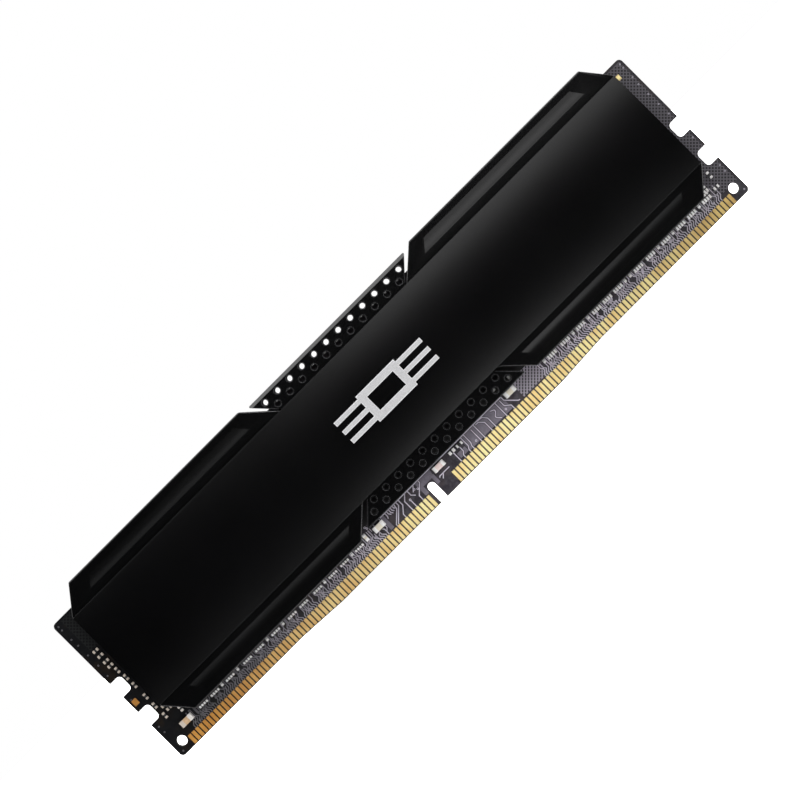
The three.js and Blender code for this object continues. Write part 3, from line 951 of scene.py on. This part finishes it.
def silver_badge():
    outer, window = badge_outline()
    badge = Build()
    badge.add(loft_plate(outer, [window], round_levels(3.85, 4.0, 0, 0.03)))
    finish(badge.object("silver_badge", [SILVER], FRONT_SPREADER), "badge")


def rear_label():
    label = crown_patch(
        bar=(31, 5.5), rectangle=(31, 5.5), corner=0.7, top=-0.05, name="blank_rear_label"
    )
    dress(label, LABEL, REAR_SPREADER)
    finish(label, "rear_label")


heat_spreader("front_spreader_shell", badge_recess, FRONT_SPREADER, "front_heat_spreader")
heat_spreader("rear_spreader_shell", label_recess, REAR_SPREADER, "rear_heat_spreader")
silver_badge()
rear_label()


# ================================================================ circuit board
def edge_height(x):
    """Height of the contact edge."""

    def rise(dist, start, end):
        return END_RISE * (1 - min(1, max(0, (dist - start) / (end - start))))

    return max(rise(x + HALF_LEN, *LEFT_SLOPE), rise(HALF_LEN - x, *RIGHT_SLOPE))


def board_outline():
    corner, mouth = 0.75, 0.15  # corner radii: of the board and its notches, and at their mouths
    key_x, key_half, key_top = -5.575, 0.75, 3.7  # the round-topped slot in the contact edge
    notch_depth, notch_half = 2.2, 1.5
    # Points are (x, y, radius).
    points = [
        (-HALF_LEN, END_RISE, corner),
        (-HALF_LEN + LEFT_SLOPE[0], END_RISE, 0),
        (-HALF_LEN + LEFT_SLOPE[1], 0.0, 0),
        (key_x - key_half, 0.0, 0),
    ]
    for k in range(17):
        angle = math.pi - math.pi * k / 16
        y = key_top - key_half + key_half * math.sin(angle)
        points.append((key_x + key_half * math.cos(angle), y, 0))
    points += [
        (key_x + key_half, 0.0, 0),
        (HALF_LEN - RIGHT_SLOPE[1], 0.0, 0),
        (HALF_LEN - RIGHT_SLOPE[0], END_RISE, 0),
        (HALF_LEN, END_RISE, corner),
    ]
    right = []
    for y in (9.5, 16.1):
        low, high, bottom = y - notch_half, y + notch_half, HALF_LEN - notch_depth
        right += [
            (HALF_LEN, low, mouth), (bottom, low, corner),
            (bottom, high, corner), (HALF_LEN, high, mouth),
        ]
    right.append((HALF_LEN, BOARD_TOP, corner))
    points += right + [(-x, y, radius) for x, y, radius in reversed(right)]
    return fillet([point[:2] for point in points], [point[2] for point in points], 8)


def board():
    holes = [circle(side * (HALF_LEN - 1.85), 2.55, 0.9, 32) for side in (-1, 1)]
    levels = [(0.12, -FACE), (0.0, -0.45), (0.0, 0.45), (0.12, FACE)]
    hole_levels = [(0.03, -FACE), (0.0, -0.67), (0.0, 0.67), (0.03, FACE)]

    def chamfer(point):
        """The contact edge is chamfered more than the rest."""
        return 1.0 if point[1] < 0.9 else 0.2

    verts, faces = loft_plate(board_outline(), holes, levels, chamfer, hole_levels)
    flat = FACE - 0.01
    slots = [0 if abs(sum(verts[i][2] for i in face)) > flat * len(face) else 1 for face in faces]
    obj = make_object("board_body", verts, faces, [MASK, LAMINATE], slots, FRONT)
    finish(obj, "circuit_board", angle=30)


def finger_places(run):
    first, count = run
    return [first + i * FINGER_PITCH for i in range(count)]


def contacts(name, run, to_world, side, node):
    """One gold pad for each finger of a run. side is -1 on the rear, whose x is turned."""
    half_width, top = 0.32, 2.43
    levels = round_levels(FACE - 0.01, FACE + 0.05, 0, 0.025)
    pads = Build()
    for place in finger_places(run):
        x, low = side * place, edge_height(place) + 0.13
        pads.add(box(x - half_width, x + half_width, low, top, 0.06, levels, seg=2))
    finish(pads.object(name, [GOLD], to_world), node, angle=50)


board()
contacts("front_gold_fingers_short", SHORT_RUN, FRONT, 1, "front_contacts_left")
contacts("front_gold_fingers_long", LONG_RUN, FRONT, 1, "front_contacts_right")
contacts("rear_gold_fingers_short", SHORT_RUN, REAR, -1, "rear_contacts_right")
contacts("rear_gold_fingers_long", LONG_RUN, REAR, -1, "rear_contacts_left")

# ================================================================ traces, vias and gold pads
ON_TRACE, ON_POUR, ON_GAP = 0, 1, 2  # material slots

# Copper areas under the vented strip on the front: x0, x1, y0, y1, height above the board
POURS = [
    (3.2, 13.1, 2.75, 5.38, 0.010), (-7.35, -6.6, 2.6, 5.3, 0.010),
    (-6.7, -4.5, 4.0, 5.4, 0.0102), (-4.6, -3.95, 2.6, 5.3, 0.010),
    (-15.45, -14.72, 2.65, 5.38, 0.020), (1.2, 3.0, 2.9, 3.9, 0.010),
]
# Traces in the same stretch, each a path of (x, y)
MIDDLE_TRACES = [
    [(-14.22, 2.45), (-14.22, 2.7), (-12.35, 4.5), (-12.19, 5.4)],
    [(-13.83, 2.45), (-13.83, 2.6), (-11.72, 4.7), (-11.72, 5.4)],
    [(-12.19, 2.45), (-12.19, 3.1), (-11.17, 4.27), (-11.17, 5.4)],
    [(-10.55, 2.45), (-10.55, 4.43), (-9.61, 5.4)],
    [(-9.69, 2.45), (-9.69, 3.9)],
    [(-9.06, 5.4), (-9.06, 4.45), (-8.5, 3.9)],
    [(-8.13, 2.45), (-8.13, 3.41), (-6.56, 4.95), (-6.56, 5.4)],
    [(-7.66, 5.4), (-8.44, 4.5)],
    [(-14.3, 5.4), (-14.3, 4.7), (-14.5, 4.35)],
    [(-13.9, 5.4), (-13.9, 4.9), (-13.6, 4.5)],
    [(-13.45, 5.4), (-13.45, 4.8), (-13.2, 4.45)],
    [(-13.05, 5.4), (-13.05, 4.9), (-12.8, 4.6)],
    [(-12.6, 5.4), (-12.6, 5.0), (-12.45, 4.8)],
    [(0.9, 4.5), (0.9, 2.45)],
    [(2.3, 4.4), (2.3, 3.5), (1.85, 3.0), (1.85, 2.45)],
    [(3.48, 5.4), (3.48, 3.51), (3.14, 3.0), (3.14, 2.45)],
    [(4.14, 5.4), (4.14, 3.6), (3.89, 3.1), (3.89, 2.45)],
    [(5.64, 5.1), (5.64, 2.45)],
    [(6.44, 5.4), (6.44, 2.45)],
    [(6.75, 5.1), (7.39, 5.1), (8.14, 4.35), (8.14, 2.45)],
    [(7.23, 5.38), (8.39, 5.22), (9.01, 4.5), (9.01, 2.45)],
    [(10.06, 5.0), (10.73, 4.68), (10.73, 4.35), (10.06, 3.76), (10.14, 3.43), (10.73, 2.85)],
    [(11.56, 5.4), (11.56, 2.45)],
    [(12.39, 5.1), (12.39, 4.0), (13.31, 3.26), (13.31, 2.45)],
    [(12.98, 5.4), (12.98, 4.68), (14.73, 2.93), (15.0, 2.9)],
    [(-15.4, 5.42), (12.9, 5.42)],
    [(-1.2, 3.3), (-3.4, 3.3), (-3.6, 3.1)],
    [(-3.3, 2.6), (-2.7, 3.2)],
]
MIDDLE_VIAS = [
    (-9.7, 4.0), (-8.0, 4.75), (-7.5, 4.4), (5.0, 3.2), (12.2, 3.4), (-18.34, 6.07),
    (-18.15, 5.7),
]
END_VIA_HEIGHTS = (1.2, 5.6, 6.9, 13.3, 18.9, 21.2, 23.6, 25.9, 27.4, 29.6, 30.4)


def ribbon(points, width, top):
    """A flat strip along a path of (x, y), up to z top."""
    count = len(points)
    steps = [(Vector(b) - Vector(a)).normalized() for a, b in zip(points, points[1:])]
    left, right = [], []
    for i, point in enumerate(points):
        here = Vector(point)
        offset = mitre(steps[max(i - 1, 0)], steps[min(i, count - 2)], 0.4) * width / 2
        left.append((here.x + offset.x, here.y + offset.y))
        right.append((here.x - offset.x, here.y - offset.y))
    verts = [(x, y, z) for z in (SUNK, top) for x, y in left + right]
    up = 2 * count  # from a lower vertex to the one above it
    faces = []
    for i in range(count - 1):
        l0, l1, r0, r1 = i, i + 1, count + i, count + i + 1
        faces += [
            (up + l0, up + r0, up + r1, up + l1),
            (l0, l1, r1, r0),
            (l0, up + l0, up + l1, l1),
            (r1, up + r1, up + r0, r0),
        ]
    last = count - 1
    faces += [(0, count, up + count, up), (last, up + last, up + up - 1, up - 1)]
    return verts, faces


def trace(parts, points, width, gap=0.2):
    """A trace on a lower, wider strip that shows as the gap round it."""
    parts.add(ribbon(points, width + gap, FACE + 0.016), ON_GAP)
    parts.add(ribbon(points, width, FACE + 0.024), ON_TRACE)


def via(parts, x, y, hole=0.09, radius=0.2):
    levels = [(0, SUNK), (0, FACE + 0.022), (0.012, FACE + 0.028)]
    parts.add(loft_plate(circle(x, y, radius, 14), [circle(x, y, hole, 14)], levels), ON_TRACE)


def middle_pattern(parts):
    """The front's open stretch under the vented strip, where traces are seen best."""
    for x0, x1, y0, y1, height in POURS:
        parts.add(box(x0, x1, y0, y1, 0.1, [(0, SUNK), (0, FACE + height)]), ON_POUR)
    for points in MIDDLE_TRACES:
        trace(parts, points, 0.16)
    for x, y in MIDDLE_VIAS:
        via(parts, x, y)
    for x, y in ((-18.0, 4.5), (-3.85, 4.55)):
        levels = [(0, SUNK), (0, FACE + 0.026)]
        parts.add(box(x - 0.18, x + 0.18, y - 0.25, y + 0.25, 0.08, levels), ON_GAP)


def finger_traces(parts, rng, side):
    """Traces rising from the fingers and from between them, in groups that jog together."""
    xs = finger_places(SHORT_RUN) + finger_places(LONG_RUN)
    if side > 0:
        xs = [x for x in xs if not -15.9 < x < 15.2]  # filled by middle_pattern
    xs = [x for x in xs if abs(x) < 62.4 and not 15.2 < x < 20.5 and not -7.6 < x < -3.9]
    xs = sorted(xs + [x + FINGER_PITCH / 2 for x in xs])
    i = 0
    while i < len(xs):
        group = rng.choice((3, 4, 5, 6, 7))
        jog = rng.choice((-0.5, -0.35, 0.35, 0.5))
        first_bend = rng.uniform(2.6, 2.75)
        for k, x in enumerate(xs[i:i + group]):
            bend = first_bend + (k if jog < 0 else group - k) * 0.06
            second_bend = bend + abs(jog) + rng.uniform(0.1, 0.35)
            back = -jog * rng.choice((0.0, 0.6, 1.0))
            points = [(x, 2.4), (x, bend), (x + jog, bend + abs(jog))]
            if back:
                points += [(x + jog, second_bend), (x + jog + back, second_bend + abs(back))]
            points.append((x + jog + back, 5.4))
            trace(parts, [(side * px, py) for px, py in points], 0.13, gap=0.14)
            if rng.random() < 0.1:
                start = 3.1 + rng.uniform(-0.3, 0.3)
                stub_x = x + 0.42
                stub = [(stub_x, start), (stub_x, 3.6), (stub_x + jog * 0.5, 3.6 + abs(jog) * 0.5)]
                trace(parts, [(side * px, py) for px, py in stub], 0.14)
        i += group


def traces(name, to_world, seed, side):
    rng = random.Random(seed)
    parts = Build()
    if side > 0:
        middle_pattern(parts)
    finger_traces(parts, rng, side)
    for _ in range(90):
        x = rng.uniform(-61.5, 62.5)
        if not -16 < x < 21:
            via(parts, side * x, rng.uniform(2.75, 3.9))
    for end in (-1, 1):
        for y in END_VIA_HEIGHTS:
            via(parts, end * (65.9 + rng.uniform(-0.1, 0.1)), y, hole=0.08, radius=0.15)
    finish(parts.object(name, [TRACE, POUR, GAP], to_world), weighted=False)


def gold_pads():
    pads = Build()
    levels = round_levels(SUNK, FACE + 0.03, 0, 0.015)
    for x, y, width, height in ((-65.75, 12.55, 1.0, 1.15), (64.15, 28.98, 0.95, 0.95)):
        half_x, half_y = width / 2, height / 2
        pads.add(box(x - half_x, x + half_x, y - half_y, y + half_y, 0.08, levels))
    finish(pads.object("front_test_pads", [GOLD], FRONT))


traces("front_copper_traces", FRONT, seed=11, side=1)
traces("rear_copper_traces", REAR, seed=23, side=-1)
gold_pads()

# ================================================================ small soldered parts
BODY, METAL = 0, 1  # material slots

# node, ceramic, then x, y, length, width, thickness, end cap, and whether it stands along y
CAPACITORS = [
    ("end_capacitor", TAN, -61.85, 4.4, 2.45, 1.12, 0.9, 0.74, False),
    ("edge_capacitor_1", CREAM, -16.5, 4.52, 2.1, 1.1, 0.8, 0.55, False),
    ("edge_capacitor_2", PINK, -2.4, 4.57, 2.2, 1.05, 0.8, 0.5, False),
    ("edge_capacitor_3", CREAM, 14.68, 4.95, 2.1, 1.0, 0.8, 0.55, False),
    ("edge_capacitor_4", CREAM, -19.38, 4.8, 1.15, 0.62, 0.5, 0.4, True),
]
ARRAY_X = [
    -57.95, -55.25, -51.7, -47.6, -44.8, -41.0, -37.1, -34.4, -31.1, -27.55, -24.8, -21.3,
    24.0, 27.1, 30.7, 34.5, 37.0, 39.5, 44.3, 47.1, 50.7, 54.2, 56.8, 60.3,
]
SINGLE_X = [
    -53.5, -49.86, -42.9, -39.2, -29.4, -22.95, 22.3, 29.0, 32.6, 41.2, 42.4, 49.0, 52.4, 58.55,
]
# Other chip parts: x, y, length, width, thickness, end cap, solder spread, stands along y
SMALL_CHIPS = [
    *((-64.36, y, 1.12, 0.52, 0.32, 0.38, 0.05, False) for y in (23.27, 22.12, 20.82, 19.80)),
    *(
        (x, y, 1.14, 0.50, 0.32, 0.38, 0.05, True)
        for x, y in (
            (-64.08, 18.45), (-63.86, 16.6), (-63.83, 14.68), (-63.84, 12.03), (-63.86, 9.9),
            (-63.82, 7.55),
        )
    ),
    (-62.46, 7.93, 1.1, 0.52, 0.32, 0.40, 0.06, False),
    (-61.2, 6.5, 1.12, 0.52, 0.32, 0.42, 0.06, True),
    (-62.85, 8.85, 0.9, 0.5, 0.32, 0.36, 0.06, False),
    (63.47, 6.95, 1.25, 0.5, 0.32, 0.36, 0.08, True),
    (62.87, 4.68, 1.05, 0.55, 0.32, 0.36, 0.06, False),
    (0.84, 4.75, 1.3, 0.62, 0.34, 0.52, 0.06, False),
    (2.56, 4.72, 1.25, 0.55, 0.34, 0.34, 0.06, False),
    (12.6, 7.16, 1.15, 0.55, 1.15, 0.40, 0.16, False),
    (16.7, 6.84, 1.15, 0.55, 1.15, 0.40, 0.16, False),
]


def solder_mound(bounds, margin, height, spread):
    """Solder that narrows as it rises to the bounds (x0, x1, y0, y1) less a margin.

    spread is how far its foot reaches beyond them on the left, right, bottom and top.
    """
    x0, x1, y0, y1 = bounds
    x0, x1, y0, y1 = x0 + margin, x1 - margin, y0 + margin, y1 - margin
    left, right, bottom, top = spread
    low = [
        (x0 - left, y0 - bottom), (x1 + right, y0 - bottom),
        (x1 + right, y1 + top), (x0 - left, y1 + top),
    ]
    high = [(x0, y0), (x1, y0), (x1, y1), (x0, y1)]
    waist = [(a[0] * 0.45 + b[0] * 0.55, a[1] * 0.45 + b[1] * 0.55) for a, b in zip(low, high)]
    rings = [
        (low, SUNK), (low, FACE + 0.03), (waist, FACE + 0.03 + height * 0.3), (high, FACE + height),
    ]
    verts = [(x, y, z) for ring, z in rings for x, y in ring]
    faces = [(3, 2, 1, 0), (12, 13, 14, 15)]
    for k in range(3):
        faces += wall(k * 4, k * 4 + 4, 4)
    return verts, faces


def chip(parts, x, y, length, width, thick, cap, spread, vertical):
    """A two-terminal part: body, wrapped end caps and solder that spreads past the caps."""
    half_length, half_width = length / 2, width / 2

    def bounds(start, end, half):
        x_span, y_span = (start, end), (-half, half)
        if vertical:
            x_span, y_span = y_span, x_span
        return x + x_span[0], x + x_span[1], y + y_span[0], y + y_span[1]

    body = bounds(-half_length + 0.04, half_length - 0.04, half_width - 0.025)
    levels = round_levels(FACE + 0.03, FACE + thick - 0.02, 0.02, 0.05)
    parts.add(box(*body, 0.08, levels), BODY)
    for end in (-1, 1):
        start, stop = sorted((end * half_length, end * (half_length - cap)))
        terminal = bounds(start, stop, half_width)
        levels = round_levels(FACE + 0.01, FACE + thick, 0.02, 0.05)
        parts.add(box(*terminal, 0.08, levels), METAL)
        foot = [0.03] * 4
        foot[(2 if vertical else 0) + (end > 0)] = spread
        parts.add(solder_mound(terminal, 0.04, thick * 0.55, foot), METAL)


def resistor_array(parts, x, y=4.72):
    """A dark block with four terminals along each long side."""
    pitch, half_width = 0.5, 0.19
    levels = round_levels(FACE + 0.03, FACE + 0.38, 0.02, 0.05)
    parts.add(box(x - 1.0, x + 1.0, y - 0.42, y + 0.42, 0.08, levels), BODY)
    # The lower terminals are longer to the right of x = -16.
    lower = (y - 0.58, y + 0.02) if x > -16 else (y - 0.52, y - 0.16)
    upper = (y + 0.2, y + 0.5)
    levels = round_levels(FACE + 0.01, FACE + 0.4, 0.02, 0.06)
    for k in range(4):
        centre = x + (k - 1.5) * pitch
        for (y0, y1), foot in ((lower, (0.0, 0.0, 0.1, 0.02)), (upper, (0.0, 0.0, 0.02, 0.1))):
            parts.add(box(centre - half_width, centre + half_width, y0, y1, 0.09, levels), METAL)
            # The mound is 0.02 mm narrower than the terminal on each side, 0.03 mm in y.
            mound = (centre - 0.17 - 0.03, centre + 0.17 + 0.03, y0, y1)
            parts.add(solder_mound(mound, 0.03, 0.26, foot), METAL)


def resistors(parts, name, to_world=FRONT, node=None):
    finish(parts.object(name, [GLAZE, TIN], to_world), node)


def soldered_parts():
    for node, material, x, y, length, width, thick, cap, vertical in CAPACITORS:
        parts = Build()
        chip(parts, x, y, length, width, thick, cap, 0.16, vertical)
        finish(parts.object(node + "_part", [material, TIN], FRONT), node)

    for i, x in enumerate(ARRAY_X):
        parts = Build()
        resistor_array(parts, x)
        node = f"resistor_array_{i + 1:02d}"
        resistors(parts, node + "_part", node=node)

    parts = Build()
    for x in SINGLE_X:
        chip(parts, x, 4.62, 0.9, 0.46, 0.34, cap=0.42, spread=0.06, vertical=True)
    resistors(parts, "front_edge_resistors")

    parts = Build()
    for row in SMALL_CHIPS:
        chip(parts, *row)
    resistor_array(parts, 60.7, 5.75)
    resistors(parts, "front_small_resistors")

    # The rear has its own row of arrays, seen only from behind and below.
    parts = Build()
    for x in ARRAY_X:
        resistor_array(parts, -x)
    resistors(parts, "rear_resistor_arrays", REAR)


soldered_parts()

# ================================================================ CAD pieces that stay
for name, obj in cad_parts.items():
    if obj.hide_render:
        continue
    is_pad = "thermal_pad" in name
    obj.data.materials.clear()
    obj.data.materials.append(SILICONE if is_pad else EPOXY)


# ================================================================ floor
def floor_material():
    """Pale and glowing to the camera, dim to other rays, clear from below."""
    mat = Nodes("pale_floor")
    x, y, _ = mat.split()
    far = mat.math("SQRT", mat.plus(mat.times(x, x), mat.times(y, y)))
    fade = mat.ramp(far, span=(0.10, 0.55))
    grain = mat.noise(scale=220)
    strength = mat.ramp(fade, span=(0, 1), to=(0.80, 1.0))
    glow = mat.node("Emission", Color=(1, 1, 1), Strength=strength)
    pale = mat.mix(grain, under=(0.80, 0.80, 0.80), over=(0.84, 0.84, 0.84))
    paint = mat.node("BsdfDiffuse", Color=pale)
    both = mat.new("AddShader")
    mat.put(both.inputs[0], glow.outputs[0])
    mat.put(both.inputs[1], paint.outputs[0])
    dim = mat.node("BsdfDiffuse", Color=(0.25, 0.25, 0.25))
    seen = mat.mix_shader(mat.new("LightPath").outputs["Is Camera Ray"], dim, both)
    below = mat.new("NewGeometry").outputs["Backfacing"]
    sided = mat.mix_shader(below, seen, mat.new("BsdfTransparent"))
    mat.put(mat.out.inputs["Surface"], sided.outputs[0])
    return mat.material


def floor():
    half = 3.0
    corners = [(-half, -half, 0), (half, -half, 0), (half, half, 0), (-half, half, 0)]
    obj = make_object("floor", corners, [(0, 1, 2, 3)], [floor_material()])
    obj.location.z = -0.00002
    obj.visible_shadow = False
    obj.visible_glossy = False


floor()


# ================================================================ world
def studio_world():
    """A bright ring round the module's edges, dark straight in front of and behind its faces."""
    world = bpy.data.worlds.new("studio")
    scene.world = world
    world.use_nodes = True
    tree = world.node_tree
    tree.nodes.clear()

    def add(kind, *inputs):
        made = tree.nodes.new("ShaderNode" + kind)
        for i, value in enumerate(inputs):
            if hasattr(value, "is_output"):
                tree.links.new(value, made.inputs[i])
            else:
                made.inputs[i].default_value = value
        return made

    def calc(operation, *inputs):
        made = add("Math", *inputs)
        made.operation = operation
        return made.outputs[0]

    x, y, z = add("SeparateXYZ", add("TexCoord").outputs["Generated"]).outputs
    fade = add("MapRange")
    fade.interpolation_type = "SMOOTHSTEP"
    limits = {"From Min": 0.84, "From Max": 0.56, "To Min": 0.0, "To Max": 1.0}
    for key, value in limits.items():
        fade.inputs[key].default_value = value
    tree.links.new(calc("ABSOLUTE", y), fade.inputs["Value"])
    middle, upward, rightward, least = 2.1, 0.9, 0.5, 0.002  # the ring's brightness
    level = calc("ADD", middle, calc("MULTIPLY", z, upward))
    level = calc("ADD", level, calc("MULTIPLY", x, rightward))
    level = calc("ADD", calc("MULTIPLY", level, fade.outputs[0]), least)
    room = add("Background", (1, 1, 1, 1), level)
    backdrop = add("Background", (1, 1, 1, 1), 1.0)
    is_camera = add("LightPath").outputs["Is Camera Ray"]
    mix = add("MixShader", is_camera, room.outputs[0], backdrop.outputs[0])
    add("OutputWorld", mix.outputs[0])


studio_world()


# ================================================================ lights
def softbox(name, location, rotation, size, radiance, glossy=True):
    """A rectangular area light of the given radiance."""
    data = bpy.data.lights.new(name, "AREA")
    data.shape = "RECTANGLE"
    data.size, data.size_y = size
    data.energy = radiance * math.pi * size[0] * size[1]
    obj = bpy.data.objects.new(name, data)
    scene.collection.objects.link(obj)
    obj.location = location
    obj.rotation_euler = rotation
    obj.visible_camera = False
    obj.visible_glossy = glossy


def panel(name, x, z, y, radiance):
    """A softbox parallel to the module's face, with its x and z spans in millimetres."""
    centre = ((x[0] + x[1]) / 2 * MM, y * MM, (z[0] + z[1]) / 2 * MM)
    size = ((x[1] - x[0]) * MM, (z[1] - z[0]) * MM)
    softbox(name, centre, (math.pi / 2 if y < 0 else -math.pi / 2, 0, 0), size, radiance)


def aimed(name, location, target, size, radiance, glossy):
    """A softbox turned towards a target, in metres."""
    towards = Vector(target) - Vector(location)
    softbox(name, location, towards.to_track_quat("-Z", "Y").to_euler(), size, radiance, glossy)


# The crowned band picks these up as its soft gradients.
panel("front_high", x=(-5.4, 184.6), z=(94.9, 187.1), y=-400, radiance=1.82)
panel("front_low", x=(-19.4, 55.8), z=(-183.2, -80.3), y=-400, radiance=1.67)
panel("front_low_wide", x=(-152.3, 130.0), z=(-298.6, -72.9), y=-400, radiance=0.17)
panel("front_high_left", x=(-125.0, -8.0), z=(138.0, 205.0), y=-400, radiance=0.42)
panel("front_low_left", x=(-125.0, -22.0), z=(-165.0, -112.0), y=-400, radiance=0.28)
panel("rear_high", x=(-160.0, 60.0), z=(94.9, 230.0), y=400, radiance=1.7)
panel("rear_low_wide", x=(-150.0, 120.0), z=(-260.0, -72.9), y=400, radiance=0.5)
# These light the board, the contacts and the bevels.
# name, location, target, size, radiance, whether reflections show it
for lamp in (
    ("overhead", (0.06, -0.10, 0.50), (0, 0, 0.02), (0.40, 0.20), 4.0, False),
    ("side_right", (0.42, -0.26, 0.16), (0.03, 0, 0.017), (0.16, 0.20), 3.0, False),
    ("low_front", (0.05, -0.34, -0.28), (0.01, 0, 0.004), (0.30, 0.12), 5.5, True),
):
    aimed(*lamp)


# ================================================================ camera
def camera():
    """Almost square on to the front face, the long axis rising to the right at 45 degrees."""
    target = Vector((0.000844, -0.0007, 0.01690))
    eye = target + Vector((0.006, -0.60, 0.006))
    lean = math.radians(45.065)
    data = bpy.data.cameras.new("camera")
    data.sensor_width = 36
    data.lens = 162.675
    data.clip_start, data.clip_end = 0.01, 20
    obj = bpy.data.objects.new("camera", data)
    scene.collection.objects.link(obj)
    back = (eye - target).normalized()
    right = Vector((math.sin(lean), 0, math.cos(lean))).cross(back).normalized()
    up = back.cross(right)
    rows = [(right[i], up[i], back[i], eye[i]) for i in range(3)]
    obj.matrix_world = Matrix((*rows, (0, 0, 0, 1)))
    scene.camera = obj


camera()
scene.view_settings.view_transform = "Standard"
scene.view_settings.look = "None"
scene.view_settings.exposure = 0.0
scene.view_settings.gamma = 1.0
